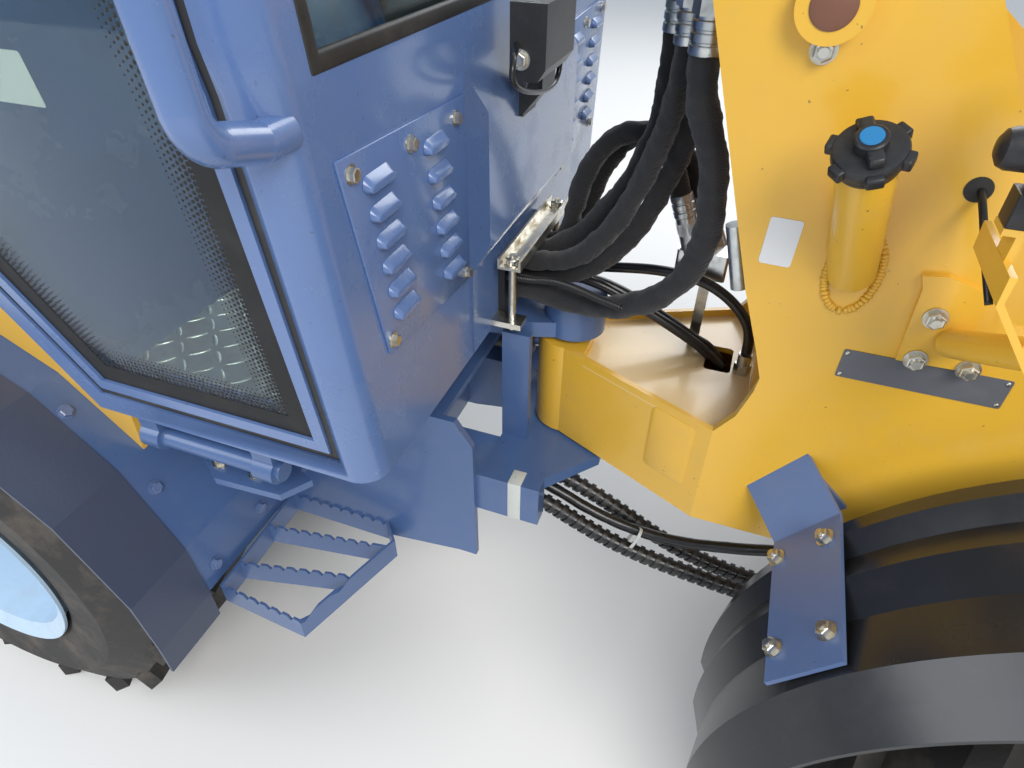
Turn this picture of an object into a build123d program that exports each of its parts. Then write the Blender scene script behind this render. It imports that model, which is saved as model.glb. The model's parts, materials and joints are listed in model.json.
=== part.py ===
from build123d import *
from math import atan2, cos, degrees, hypot, radians, sin, tan
import os

# Compact articulated wheel loader with cab, drawn in millimetres.
# +X points forward, +Y to the machine's left, +Z up, and the tyres stand on Z = 0.
# Plan positions below are measured forward from the articulation axis.

# Driving dimensions
pivot_x = -288.5
front_axle_x = 755.0
rear_axle_x = -847.0
tyre_radius = 380.0
tyre_width = 264.0
track_half = 354.0
rim_radius = 205.0
pin_clearance = 0.05
slide_clearance = 0.05
seat_gap = 0.3
plate = 10.0
sheet = 3.0

# Rear frame
frame_half = 186.0
frame_bottom_front = 356.0
frame_bottom_axle = 460.0
frame_top = 640.0
frame_front_x = -84.0
frame_rear_x = -1300.0

# Articulation
pivot_pin_radius = 22.5
neck_bottom = 545.0
neck_top = 700.0
neck_tube_radius = 50.0
neck_end = 262.0
pan_floor = neck_top - 12
lower_ear_top = neck_bottom - 5.0
lower_ear_thickness = 20.0
upper_ear_bottom = neck_top + 9.0
upper_ear_thickness = 48.0
upper_arm_thickness = 24.0
boss_radius = 44.0

# Front frame
tower_half = 150.0
tower_plate = 12.0
boom_pin = (220.0, 1150.0)
boom_pin_radius = 18.0
tower_boss_radius = 28.0
manifold_z = 1150.0

# Cab
cab_floor = 740.0
cab_front_x = -90.0
cab_sill_half = 405.0
cab_waist = 1150.0
cab_waist_half = 450.0
cab_roof = 2120.0
cab_roof_half = 425.0
cab_rear_x = -880.0
wall = 40.0

cab_back_bottom = 1180.0
mount_height = 100.0

# Steering cylinder, level on the left side
steer_foot = (-420.0, 100.0)
steer_eye = (15.0, 112.0)
steer_height = neck_bottom + 45
steer_pin_radius = 12.0

# Boom and cylinders
bucket_pin = (1400.0, 270.0)
boom_half = 60.0
boom_web = 12.0
lift_foot = (300.0, 588.0)
lift_reach = 240.0
lift_angle = -45.0

PV = Plane(origin=(pivot_x, 0, 0), x_dir=(1, 0, 0), z_dir=(0, -1, 0))
PH = Plane(origin=(pivot_x, 0, 0), x_dir=(1, 0, 0), z_dir=(0, 0, 1))
PF = Plane(origin=(pivot_x, 0, 0), x_dir=(0, 1, 0), z_dir=(1, 0, 0))

os.makedirs("parts", exist_ok=True)

# Rear frame: two side plates, floor, cross walls and the rear ears of the articulation
side_profile = [
    (frame_front_x, 366), (frame_front_x, 600), (-110, frame_top), (frame_rear_x, frame_top),
    (frame_rear_x, frame_bottom_axle), (-620, frame_bottom_axle), (-520, 348), (-235, 348),
    (-112, 366),
]
with BuildPart() as rear_frame:
    with BuildSketch(PV.offset(frame_half - plate)):
        with BuildLine():
            Polyline(*side_profile, close=True)
        make_face()
    extrude(amount=plate)
    with BuildSketch(PV.offset(-frame_half)):
        with BuildLine():
            Polyline(*side_profile, close=True)
        make_face()
    extrude(amount=plate)
    with BuildSketch(PH.offset(frame_top - plate)):
        with Locations(((frame_rear_x - 130) / 2, 0)):
            Rectangle(-130 - frame_rear_x, 2 * frame_half)
    extrude(amount=plate)
    for wall_x, wall_bottom in ((-260, 356), (-560, 400), (frame_rear_x, frame_bottom_axle)):
        with BuildSketch(PF.offset(wall_x)):
            with Locations((0, (wall_bottom + frame_top) / 2)):
                Rectangle(2 * frame_half, frame_top - wall_bottom)
        extrude(amount=plate)
    # lower ear with its side bars
    with BuildSketch(PH.offset(lower_ear_top - lower_ear_thickness)):
        with BuildLine():
            Polyline((-255, -150), (11, -150), (73, -75), (73, 75), (11, 150), (-255, 150), close=True)
        make_face()
        with Locations((-155, 0)):
            Rectangle(150, 180, mode=Mode.SUBTRACT)
    extrude(amount=lower_ear_thickness)
    for side in (-1, 1):
        with BuildSketch(PH.offset(468)):
            with Locations((-47, side * 162)):
                Rectangle(116, 28)
        extrude(amount=lower_ear_top - 468)
    # upper ear: a flat arm under the cab floor and a tall boss
    with BuildSketch(PH.offset(upper_ear_bottom)):
        with BuildLine():
            Polyline((-170, -70), (-60, -56), (0, -36), (0, 36), (-60, 56), (-170, 70), close=True)
        make_face()
    extrude(amount=upper_arm_thickness)
    with BuildSketch(PH.offset(upper_ear_bottom)):
        Circle(boss_radius)
    extrude(amount=upper_ear_thickness)
    with BuildSketch(PF.offset(-170)):
        with Locations((0, (frame_top - plate + upper_ear_bottom + upper_arm_thickness) / 2)):
            Rectangle(140, upper_ear_bottom + upper_arm_thickness - frame_top + plate)
    extrude(amount=plate)
    # struts between the ears, the left one set back from the steering cylinder
    for strut_x, strut_y in ((-60, -76), (-110, 60)):
        with BuildSketch(PH.offset(lower_ear_top - lower_ear_thickness)):
            with Locations((strut_x, strut_y)):
                Rectangle(40, 12)
        extrude(amount=upper_ear_bottom - lower_ear_top + lower_ear_thickness + 20)
    # opening and lugs for the steering cylinder
    with BuildSketch(PF.offset(-270)):
        with Locations((steer_foot[1], steer_height)):
            Rectangle(80, 76)
    extrude(amount=30, mode=Mode.SUBTRACT)
    for lug_z in (steer_height - 38, steer_height + 28):
        with BuildSketch(PH.offset(lug_z)):
            with Locations((steer_foot[0], (steer_foot[1] - 25 + frame_half - plate) / 2)):
                Rectangle(56, frame_half - plate - steer_foot[1] + 25)
        extrude(amount=10)
    with BuildSketch(PH.offset(steer_height - 38)):
        with Locations(steer_foot):
            Circle(steer_pin_radius)
    extrude(amount=76)
    # cab mounts
    mount_pad = [(-381, 180), (-381, 355), (-341, 382), (-250, 377), (-228, 343), (-251, 334), (-240, 180)]
    for side in (-1, 1):
        with BuildSketch(PH.offset(frame_top - plate)):
            with BuildLine():
                Polyline(*[(x, side * y) for x, y in mount_pad], close=True)
            make_face()
        extrude(amount=plate)
        with BuildSketch(PH.offset(frame_top)):
            with Locations((-700, side * 160)):
                Rectangle(40, 40)
        extrude(amount=cab_back_bottom - mount_height - frame_top)
    # axle seat
    for side in (-1, 1):
        with BuildSketch(PH.offset(tyre_radius + 60)):
            with Locations((rear_axle_x, side * (frame_half - 30))):
                Rectangle(120, 60)
        extrude(amount=frame_bottom_axle - tyre_radius - 60 + plate)
    # pin through the ears
    with BuildSketch(PH.offset(lower_ear_top - lower_ear_thickness - 20)):
        Circle(pivot_pin_radius)
    extrude(amount=upper_ear_bottom + upper_ear_thickness - lower_ear_top + lower_ear_thickness + 20)
rear_frame.part.label = "rear_frame"
export_step(rear_frame.part, "parts/rear_frame.step")

# Mudguards over the rear tyres, blue sheet that follows the tyre
guard_radius = 412.0
guard_x = -840.0
guard_outer = 395.0
with BuildPart() as rear_mudguards:
    for side in (-1, 1):
        start = frame_half if side < 0 else -guard_outer
        with BuildSketch(PV.offset(start)):
            with BuildLine():
                Polyline(
                    (guard_x + guard_radius, 375), (guard_x + 402, 470), (guard_x + 345, 605),
                    (guard_x + 250, 710), (guard_x + 120, 780), (guard_x - 40, 800), (guard_x - 240, 760),
                    (guard_x - 240, 757), (guard_x - 40, 797), (guard_x + 119, 777), (guard_x + 248, 707.5),
                    (guard_x + 342.5, 603), (guard_x + 399, 469), (guard_x + guard_radius - sheet, 375),
                    close=True)
            make_face()
        extrude(amount=guard_outer - frame_half)
rear_mudguards.part.label = "rear_mudguards"
export_step(rear_mudguards.part, "parts/rear_mudguards.step")

# Black strips that carry the mudguards on over the tyre's outer part
with BuildPart() as fender_strips:
    for side in (-1, 1):
        start = guard_outer if side < 0 else -guard_outer - 100
        with BuildSketch(PV.offset(start)):
            with BuildLine():
                Polyline(
                    (guard_x + guard_radius + 3, 320), (guard_x + guard_radius + 3, 375), (guard_x + 405, 471),
                    (guard_x + 347, 607), (guard_x + 252, 712), (guard_x + 121, 783), (guard_x - 40, 803),
                    (guard_x - 240, 763), (guard_x - 240, 759), (guard_x - 40, 799), (guard_x + 120, 779),
                    (guard_x + 250, 709), (guard_x + 344, 604), (guard_x + 401, 470),
                    (guard_x + guard_radius - 1, 375), (guard_x + guard_radius - 1, 320), close=True)
            make_face()
        extrude(amount=100)
fender_strips.part.label = "fender_strips"
export_step(fender_strips.part, "parts/fender_strips.step")

# Steps: a serrated strip frame with two bars on each side
step_top = 380.0
step_height = 40.0
step_strip = 4.0
step_outline = [(-425, frame_half), (-417, 382), (-270, 392), (-212, 216), (-240, frame_half)]
step_bars = (((-421, 259), (-218, 229)), ((-416, 335), (-241, 296)))
with BuildPart() as steps:
    for side in (-1, 1):
        with BuildSketch(PH.offset(step_top - step_height)):
            with BuildLine():
                Polyline(*[(x, side * y) for x, y in step_outline], close=True)
            make_face()
            offset(amount=-step_strip, kind=Kind.INTERSECTION, mode=Mode.SUBTRACT)
            for (left_x, left_y), (right_x, right_y) in step_bars:
                with BuildLine():
                    Polyline((left_x, side * left_y), (right_x, side * right_y),
                             (right_x, side * (right_y + step_strip)), (left_x, side * (left_y + step_strip)),
                             close=True)
                make_face()
        extrude(amount=step_height)
    # teeth cut into the top edges
    for tooth in range(9):
        tooth_x = -408 + 20 * tooth
        with BuildSketch(PV.offset(-400)):
            with BuildLine():
                Polyline((tooth_x - 6, step_top + 1), (tooth_x, step_top - 8), (tooth_x + 6, step_top + 1), close=True)
            make_face()
        extrude(amount=800, mode=Mode.SUBTRACT)
steps.part.label = "steps"
export_step(steps.part, "parts/steps.step")

# Axles
port_face_x = 632.0
for label, axle_x in (("rear_axle", rear_axle_x), ("front_axle", front_axle_x)):
    axle_plane = Plane(origin=(pivot_x + axle_x, 0, tyre_radius), x_dir=(1, 0, 0), z_dir=(0, -1, 0))
    with BuildPart() as axle:
        with BuildSketch(axle_plane.offset(-200)):
            Circle(60)
        extrude(amount=400)
        with BuildSketch(axle_plane.offset(-70)):
            Circle(105)
        extrude(amount=140)
        with BuildSketch(axle_plane.offset(-262)):
            Circle(30)
        extrude(amount=524)
        if label == "front_axle":
            # port block of the drive motor
            with BuildSketch(PF.offset(port_face_x)):
                with Locations((-62, tyre_radius - 22)):
                    Rectangle(96, 64)
            extrude(amount=60)
    axle.part.label = label
    export_step(axle.part, "parts/" + label + ".step")

# Wheels
wheel_table = (
    ("front_right", front_axle_x, -1),
    ("front_left", front_axle_x, 1),
    ("rear_right", rear_axle_x, -1),
    ("rear_left", rear_axle_x, 1),
)
tyre_profile = [
    (rim_radius - 15, -105), (rim_radius + 10, -122), (tyre_radius - 90, -tyre_width / 2),
    (tyre_radius - 28, -108), (tyre_radius - 28, 108), (tyre_radius - 90, tyre_width / 2),
    (rim_radius + 10, 122), (rim_radius - 15, 105),
]
lug_count = 16
lug_depth = 34.0
lug_length = 122.0
lug_width = 26.0
lug_slant = 32.0
lug_offset = 60.0
lug_radius = tyre_radius - lug_depth / 2 - 2.5
rim_profile = [
    (60, 40), (150, 30), (rim_radius - 15.3, -20), (rim_radius - 15.3, -112), (rim_radius + 4, -125),
    (rim_radius + 4, -130), (rim_radius - 22, -118), (rim_radius - 22, -30), (150, 20), (60, 30),
]
for name, axle_x, side in wheel_table:
    wheel_plane = Plane(
        origin=(pivot_x + axle_x, side * track_half, tyre_radius), x_dir=(1, 0, 0), z_dir=(0, side, 0))
    with BuildPart() as tyre:
        with BuildSketch(Plane(origin=wheel_plane.origin, x_dir=(1, 0, 0), z_dir=(0, 0, 1))):
            with BuildLine():
                Polyline(*[(radius, side * across) for radius, across in tyre_profile], close=True)
            make_face()
        revolve(axis=Axis(wheel_plane.origin, (0, 1, 0)))
        with Locations(*[
            Pos(*wheel_plane.origin) * Rot(0, 360.0 * (turn + first) / lug_count, 0)
            * Pos(lug_radius, row * lug_offset, 0) * Rot(row * lug_slant, 0, 0)
            for row, first in ((-1, 0), (1, 0.5)) for turn in range(lug_count)
        ]):
            Box(lug_depth, lug_length, lug_width)
    tyre.part.label = "tyre_" + name
    export_step(tyre.part, "parts/tyre_" + name + ".step")
    with BuildPart() as rim:
        with BuildSketch(Plane(origin=wheel_plane.origin, x_dir=(1, 0, 0), z_dir=(0, 0, 1))):
            with BuildLine():
                Polyline(*[(radius, -side * across) for radius, across in rim_profile], close=True)
            make_face()
        revolve(axis=Axis(wheel_plane.origin, (0, 1, 0)))
        with BuildSketch(wheel_plane.offset(-92)):
            Circle(95)
        extrude(amount=112)
        with BuildSketch(wheel_plane.offset(-92)):
            Circle(30 + pin_clearance)
        extrude(amount=92, mode=Mode.SUBTRACT)
    rim.part.label = "rim_" + name
    export_step(rim.part, "parts/rim_" + name + ".step")

# Cab skins at several depths: the sides lean outward up to the waist and in again to the roof
cab_profile = [
    (cab_front_x, cab_floor), (cab_front_x, 1120), (-180, cab_roof), (-860, cab_roof),
    (cab_rear_x, cab_back_bottom), (-636, cab_back_bottom), (-447, cab_floor),
]
cab_section = [
    (-cab_sill_half, cab_floor), (-cab_waist_half, cab_waist), (-cab_roof_half, cab_roof),
    (cab_roof_half, cab_roof), (cab_waist_half, cab_waist), (cab_sill_half, cab_floor),
]
glass_depths = (4.0, 10.0)
cab_skin = {}
for depth in (0.0, *glass_depths, wall):
    with BuildPart() as skin:
        with BuildSketch(PV.offset(-500)):
            with BuildLine():
                Polyline(*cab_profile, close=True)
            make_face()
            if depth:
                offset(amount=-depth, kind=Kind.INTERSECTION, mode=Mode.REPLACE)
        extrude(amount=1000)
        with BuildSketch(PF.offset(-1000)):
            with BuildLine():
                Polyline(*cab_section, close=True)
            make_face()
            if depth:
                offset(amount=-depth, kind=Kind.INTERSECTION, mode=Mode.REPLACE)
        extrude(amount=1000, mode=Mode.INTERSECT)
    cab_skin[depth] = skin.part

door_top = cab_roof - 85
window_top = door_top - 45
side_wall_inner = 360.0
door_outline = [
    (-125, cab_floor + 28), (-125, 1120), (-206, door_top), (-640, door_top), (-640, 1254), (-430, cab_floor + 28)]
door_border = 24.0
rear_side_window = [(-690, 1260), (-690, window_top), (-818, window_top), (-836, 1260)]
door_gap = 10.0
hinge_x = -642.0
hinge_y = 458.0
hinge_levels = (1330.0, door_top - 155)
hinge_pin_radius = 5.0
knuckle_radius = 10.0
knuckle_height = 32.0
shield_plane = Plane(
    origin=(pivot_x + cab_front_x, 0, 1120), x_dir=(0, 1, 0),
    z_dir=(cab_roof - 1120, 0, 180 + cab_front_x))
shield_low = 6.0
shield_high = 930.0
shield_half = 395.0
rear_window_plane = PF.offset(cab_rear_x - 20)

with BuildPart() as cab_frame:
    add(cab_skin[0.0])
    add(cab_skin[wall], mode=Mode.SUBTRACT)
    for start in (-600, side_wall_inner):
        with BuildSketch(PV.offset(start)):
            with BuildLine():
                Polyline(*door_outline, close=True)
            make_face()
            with BuildLine():
                Polyline(*rear_side_window, close=True)
            make_face()
        extrude(amount=600 - side_wall_inner, mode=Mode.SUBTRACT)
    with BuildSketch(shield_plane.offset(-80)):
        with Locations((0, (shield_low + shield_high) / 2)):
            Rectangle(2 * shield_half, shield_high - shield_low)
    extrude(amount=160, mode=Mode.SUBTRACT)
    with BuildSketch(rear_window_plane):
        with Locations((0, 1620)):
            Rectangle(700, 680)
    extrude(amount=100, mode=Mode.SUBTRACT)
    # door hinges: knuckles with a pin on the rear door posts
    for side in (-1, 1):
        for hinge_z in hinge_levels:
            with BuildSketch(PH.offset(hinge_z)):
                with Locations((hinge_x - 20, side * (hinge_y - 17))):
                    Rectangle(36, 34)
                with Locations((hinge_x, side * hinge_y)):
                    Circle(knuckle_radius)
            extrude(amount=knuckle_height)
            with BuildSketch(PH.offset(hinge_z)):
                with Locations((hinge_x, side * hinge_y)):
                    Circle(hinge_pin_radius)
            extrude(amount=2 * knuckle_height + seat_gap)
    # raised middle of the front wall
    with BuildSketch(PV.offset(-160)):
        with BuildLine():
            Polyline((cab_front_x, 745), (cab_front_x + 3, 745), (cab_front_x + 3, 858), (cab_front_x + 26, 895),
                     (cab_front_x + 26, 1040), (cab_front_x, 1075), close=True)
        make_face()
    extrude(amount=320)
cab_frame.part.label = "cab_frame"
export_step(cab_frame.part, "parts/cab_frame.step")

with BuildPart() as cab_glass:
    with BuildSketch(shield_plane.offset(-20)):
        with Locations((0, (shield_low + shield_high) / 2)):
            Rectangle(2 * shield_half, shield_high - shield_low)
    extrude(amount=6)
    with BuildSketch(rear_window_plane.offset(50)):
        with Locations((0, 1620)):
            Rectangle(700, 680)
    extrude(amount=-6)
cab_glass.part.label = "cab_glass"
export_step(cab_glass.part, "parts/cab_glass.step")

with BuildPart() as quarter_glass:
    add(cab_skin[glass_depths[0]])
    add(cab_skin[glass_depths[1]], mode=Mode.SUBTRACT)
    with BuildSketch(PV.offset(-600)):
        with BuildLine():
            Polyline(*rear_side_window, close=True)
        make_face()
    extrude(amount=1200, mode=Mode.INTERSECT)
quarter_glass.part.label = "quarter_glass"
export_step(quarter_glass.part, "parts/quarter_glass.step")

for name, side, start in (("right", -1, side_wall_inner), ("left", 1, -600)):
    with BuildPart() as door:
        add(cab_skin[0.0])
        add(cab_skin[wall], mode=Mode.SUBTRACT)
        with BuildSketch(PV.offset(start)):
            with BuildLine():
                Polyline(*door_outline, close=True)
            make_face()
            offset(amount=-door_gap, kind=Kind.INTERSECTION, mode=Mode.REPLACE)
        extrude(amount=600 - side_wall_inner, mode=Mode.INTERSECT)
        with BuildSketch(PV.offset(start)):
            with BuildLine():
                Polyline(*door_outline, close=True)
            make_face()
            offset(amount=-door_border, kind=Kind.INTERSECTION, mode=Mode.REPLACE)
        extrude(amount=600 - side_wall_inner, mode=Mode.SUBTRACT)
        for hinge_z in hinge_levels:
            with BuildSketch(PH.offset(hinge_z + knuckle_height + seat_gap)):
                with Locations((hinge_x + 20, side * (hinge_y - 17))):
                    Rectangle(12, 34)
                with Locations((hinge_x + 7, side * hinge_y)):
                    Rectangle(14, 2 * knuckle_radius - 2)
                with Locations((hinge_x, side * hinge_y)):
                    Circle(knuckle_radius)
                    Circle(hinge_pin_radius + pin_clearance, mode=Mode.SUBTRACT)
            extrude(amount=knuckle_height)
    door.part.label = "door_" + name
    export_step(door.part, "parts/door_" + name + ".step")
    with BuildPart() as door_glass:
        add(cab_skin[glass_depths[0]])
        add(cab_skin[glass_depths[1]], mode=Mode.SUBTRACT)
        with BuildSketch(PV.offset(start)):
            with BuildLine():
                Polyline(*door_outline, close=True)
            make_face()
            offset(amount=-door_border, kind=Kind.INTERSECTION, mode=Mode.REPLACE)
        extrude(amount=600 - side_wall_inner, mode=Mode.INTERSECT)
    door_glass.part.label = "door_glass_" + name
    export_step(door_glass.part, "parts/door_glass_" + name + ".step")

# Roof cap over the cab
with BuildPart() as roof_cap:
    with BuildSketch(PH.offset(cab_roof)):
        with Locations((-522, 0)):
            RectangleRounded(740, 2 * cab_roof_half + 30, 60)
    extrude(amount=38)
    chamfer(roof_cap.edges().filter_by_position(Axis.Z, cab_roof + 38, cab_roof + 38), 14)
roof_cap.part.label = "roof_cap"
export_step(roof_cap.part, "parts/roof_cap.step")

# Louvred covers on the front wall, either side of its raised middle
louvre_rows = 6
louvre_half = 22.0
louvre_columns = ((341, 1037, 318, 907), (237, 1032, 212, 893))
with BuildPart() as louvre_panels:
    for side in (-1, 1):
        with BuildSketch(PF.offset(cab_front_x)):
            with BuildLine():
                Polyline((side * 165, 855), (side * 352, 872), (side * 392, 1066), (side * 165, 1056), close=True)
            make_face()
        extrude(amount=sheet)
        for top_y, top_z, low_y, low_z in louvre_columns:
            for row in range(louvre_rows):
                share = row / (louvre_rows - 1)
                middle_y = top_y + (low_y - top_y) * share
                top = top_z + 8 + (low_z - top_z) * share
                with BuildSketch(PV.offset(-side * middle_y - louvre_half)):
                    with BuildLine():
                        Polyline((cab_front_x + sheet, top), (cab_front_x + 4, top), (cab_front_x + 13, top - 13),
                                 (cab_front_x + 11, top - 15), (cab_front_x + sheet, top - 15), close=True)
                    make_face()
                extrude(amount=2 * louvre_half)
louvre_panels.part.label = "louvre_panels"
export_step(louvre_panels.part, "parts/louvre_panels.step")

# Rubber flap that the hoses come out of, and the clamp bar over them
flap_face = cab_front_x + 12
with BuildPart() as hose_flap:
    with BuildSketch(PF.offset(cab_front_x + 3)):
        with BuildLine():
            Polyline((-78, 748), (-78, 838), (78, 838), (78, 748), close=True)
        make_face()
    extrude(amount=flap_face - cab_front_x - 3)
hose_flap.part.label = "hose_flap"
export_step(hose_flap.part, "parts/hose_flap.step")

clamp_x = -62.0
clamp_bolt_y = 92.0
with BuildPart() as hose_clamp:
    with BuildSketch(PV.offset(-clamp_bolt_y - 14)):
        with BuildLine():
            Polyline((clamp_x - 15, 852), (clamp_x - 15, 838), (clamp_x + 15, 838), (clamp_x + 15, 852),
                     (clamp_x + 12, 852), (clamp_x + 12, 841), (clamp_x - 12, 841), (clamp_x - 12, 852), close=True)
        make_face()
    extrude(amount=2 * clamp_bolt_y + 28)
    for side in (-1, 1):
        with BuildSketch(PH.offset(745)):
            with Locations((clamp_x, side * clamp_bolt_y)):
                Circle(5)
        extrude(amount=103)
        with BuildSketch(PH.offset(841)):
            with Locations((clamp_x, side * clamp_bolt_y)):
                RegularPolygon(9, 6)
        extrude(amount=7)
        # blue shelf that the bolt goes into
        with BuildSketch(PH.offset(752)):
            with Locations(((clamp_x + 16 + cab_front_x + 3) / 2, side * clamp_bolt_y)):
                Rectangle(clamp_x + 16 - cab_front_x - 3, 26)
        extrude(amount=8)
hose_clamp.part.label = "hose_clamp"
export_step(hose_clamp.part, "parts/hose_clamp.step")

# Work lamp low on the front of the cab
with BuildPart() as work_lamp:
    with BuildSketch(PF.offset(cab_front_x + 26)):
        with Locations((-50, 1025)):
            Rectangle(44, 26)
    extrude(amount=5)
    with BuildSketch(PV.offset(28)):
        with BuildLine():
            Polyline((cab_front_x + 31, 1035), (cab_front_x + 31, 1015), (cab_front_x + 52, 1040), (cab_front_x + 52, 1060),
                     (cab_front_x + 42, 1060), close=True)
        make_face()
    extrude(amount=44)
    with BuildSketch(PV.offset(8)):
        with BuildLine():
            Polyline((cab_front_x + 28, 1064), (cab_front_x + 34, 1056), (cab_front_x + 58, 1058),
                     (cab_front_x + 66, 1070), (cab_front_x + 66, 1128), (cab_front_x + 28, 1128), close=True)
        make_face()
    extrude(amount=100)
work_lamp.part.label = "work_lamp"
export_step(work_lamp.part, "parts/work_lamp.step")

# Rubber mounts under the cab
with BuildPart() as cab_mounts:
    for mount_x, mount_y, base_z in ((-305, 300, frame_top), (-700, 160, cab_back_bottom - mount_height)):
        for side in (-1, 1):
            with BuildSketch(PH.offset(base_z)):
                with Locations((mount_x, side * mount_y)):
                    Circle(26)
            extrude(amount=mount_height)
cab_mounts.part.label = "cab_mounts"
export_step(cab_mounts.part, "parts/cab_mounts.step")

# Tubes under the cab's sills on cast lugs
sill_tube = (-385.0, 698.0)
with BuildPart() as sill_tubes:
    for side in (-1, 1):
        with BuildSketch(PF.offset(-416)):
            with Locations((side * -sill_tube[0], sill_tube[1])):
                Circle(12)
        extrude(amount=193)
        for lug_x in (-398, -242):
            with BuildSketch(PF.offset(lug_x - 13)):
                with Locations((side * -sill_tube[0], sill_tube[1])):
                    Circle(17)
                with Locations((side * (-sill_tube[0] - 2), (sill_tube[1] + cab_floor) / 2)):
                    Rectangle(22, cab_floor - sill_tube[1])
            extrude(amount=26)
sill_tubes.part.label = "sill_tubes"
export_step(sill_tubes.part, "parts/sill_tubes.step")

# Grab handles on the front corner posts
with BuildPart() as grab_handles:
    for side in (-1, 1):
        with BuildLine() as handle_line:
            FilletPolyline(
                (pivot_x - 100, side * 444, 1095), (pivot_x - 100, side * 500, 1110),
                (pivot_x - 140, side * 500, 1560), (pivot_x - 140, side * 438, 1575), radius=24)
        with BuildSketch(Plane(origin=handle_line.line @ 0, z_dir=handle_line.line % 0)):
            Circle(13)
        sweep(path=handle_line.line)
    add(cab_skin[0.0], mode=Mode.SUBTRACT)
grab_handles.part.label = "grab_handles"
export_step(grab_handles.part, "parts/grab_handles.step")

# Seat on the ledge over the engine, steering console and wheel
cab_ledge = cab_back_bottom + wall
with BuildPart() as seat:
    with BuildSketch(PV.offset(-210)):
        with BuildLine():
            Polyline((-830, cab_ledge), (-640, cab_ledge), (-600, 1240), (-440, 1245), (-425, 1300),
                     (-460, 1335), (-715, 1320), (-785, 1830), (-832, 1825), (-832, 1400), close=True)
        make_face()
    extrude(amount=420)
seat.part.label = "seat"
export_step(seat.part, "parts/seat.step")

wheel_tilt = Plane(origin=(pivot_x - 345, 0, 1480), x_dir=(0, 1, 0), z_dir=(-0.5, 0, 0.866))
with BuildPart() as console:
    with BuildSketch(PV.offset(-70)):
        with BuildLine():
            Polyline((-210, cab_floor + wall), (-135, cab_floor + wall), (-135, 1115), (-175, 1330),
                     (-250, 1310), (-225, 1120), close=True)
        make_face()
    extrude(amount=140)
    with BuildSketch(wheel_tilt):
        Circle(22)
    extrude(amount=-200)
console.part.label = "console"
export_step(console.part, "parts/console.step")

with BuildPart() as steering_wheel:
    with BuildSketch(wheel_tilt):
        Circle(175)
        Circle(150, mode=Mode.SUBTRACT)
        Rectangle(320, 30)
        Circle(40)
    extrude(amount=20)
steering_wheel.part.label = "steering_wheel"
export_step(steering_wheel.part, "parts/steering_wheel.step")

# Engine as one block and the yellow body round it
with BuildPart() as engine:
    with BuildSketch(PH.offset(frame_top)):
        with Locations((-1030, 0)):
            Rectangle(440, 320)
    extrude(amount=340)
engine.part.label = "engine"
export_step(engine.part, "parts/engine.step")

hood_half = 350.0
tow_bore_radius = 16.0
hood_rear_x = -1345.0
hood_split = 1000.0
hood_top = hood_split + 165
hood_hinge = (-887.0, hood_top - 12)
with BuildPart() as body_sides:
    for side in (-1, 1):
        start = hood_half - 15 if side < 0 else -hood_half
        with BuildSketch(PV.offset(start)):
            with BuildLine():
                Polyline(
                    (frame_rear_x, 640), (frame_rear_x, hood_split - 6), (-895, hood_split - 6),
                    (-895, 1172), (-645, 1172), (-478, 788), (guard_x + 345, 606),
                    (guard_x + 250, 711), (guard_x + 120, 781), (guard_x - 40, 801), (guard_x - 240, 761),
                    (-1165, 640), close=True)
            make_face()
            with Locations(*[(-1190 + column * 26, 890) for column in range(7)]):
                SlotOverall(150, 12, rotation=90, mode=Mode.SUBTRACT)
        extrude(amount=15)
    # bar across under the cab's back that carries the hood's hinges
    with BuildSketch(PV.offset(-hood_half)):
        with BuildLine():
            Polyline((-872, 1095), (-872, 1172), (-864, 1172), (-864, 1095), close=True)
        make_face()
    extrude(amount=2 * hood_half)
    for hinge_side in (-1, 1):
        for level in (-1, 1):
            middle = hinge_side * 200 + level * (knuckle_height + seat_gap)
            with BuildSketch(PV.offset(middle - knuckle_height / 2)):
                with Locations(hood_hinge):
                    Circle(knuckle_radius)
                with Locations(((hood_hinge[0] - 868) / 2, hood_hinge[1])):
                    Rectangle(-868 - hood_hinge[0], 2 * knuckle_radius)
            extrude(amount=knuckle_height)
        with BuildSketch(PV.offset(hinge_side * 200 - 1.5 * knuckle_height)):
            with Locations(hood_hinge):
                Circle(hinge_pin_radius)
        extrude(amount=3 * knuckle_height)
body_sides.part.label = "body_sides"
export_step(body_sides.part, "parts/body_sides.step")

with BuildPart() as engine_hood:
    with BuildSketch(PF.offset(hood_rear_x)):
        with BuildLine():
            Polyline((-hood_half, hood_split), (-hood_half, hood_top - 60), (-hood_half + 50, hood_top),
                     (hood_half - 50, hood_top), (hood_half, hood_top - 60), (hood_half, hood_split), close=True)
        make_face()
    extrude(amount=445)
    with BuildSketch(PF.offset(hood_rear_x + 15)):
        with BuildLine():
            Polyline((-hood_half + 15, hood_split - 1), (-hood_half + 15, hood_top - 66),
                     (-hood_half + 56, hood_top - 15), (hood_half - 56, hood_top - 15),
                     (hood_half - 15, hood_top - 66), (hood_half - 15, hood_split - 1), close=True)
        make_face()
    extrude(amount=445, mode=Mode.SUBTRACT)
    with BuildSketch(PF.offset(hood_rear_x)):
        with Locations(*[(0, hood_split + 25 + row * 22) for row in range(5)]):
            SlotOverall(440, 12)
    extrude(amount=15, mode=Mode.SUBTRACT)
    for hinge_side in (-1, 1):
        with BuildSketch(PV.offset(hinge_side * 200 - knuckle_height / 2)):
            with Locations((hood_hinge[0] - 10, hood_hinge[1] + 1)):
                Rectangle(20, 14)
            with Locations(hood_hinge):
                Circle(knuckle_radius)
                Circle(hinge_pin_radius + pin_clearance, mode=Mode.SUBTRACT)
        extrude(amount=knuckle_height)
engine_hood.part.label = "engine_hood"
export_step(engine_hood.part, "parts/engine_hood.step")

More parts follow.
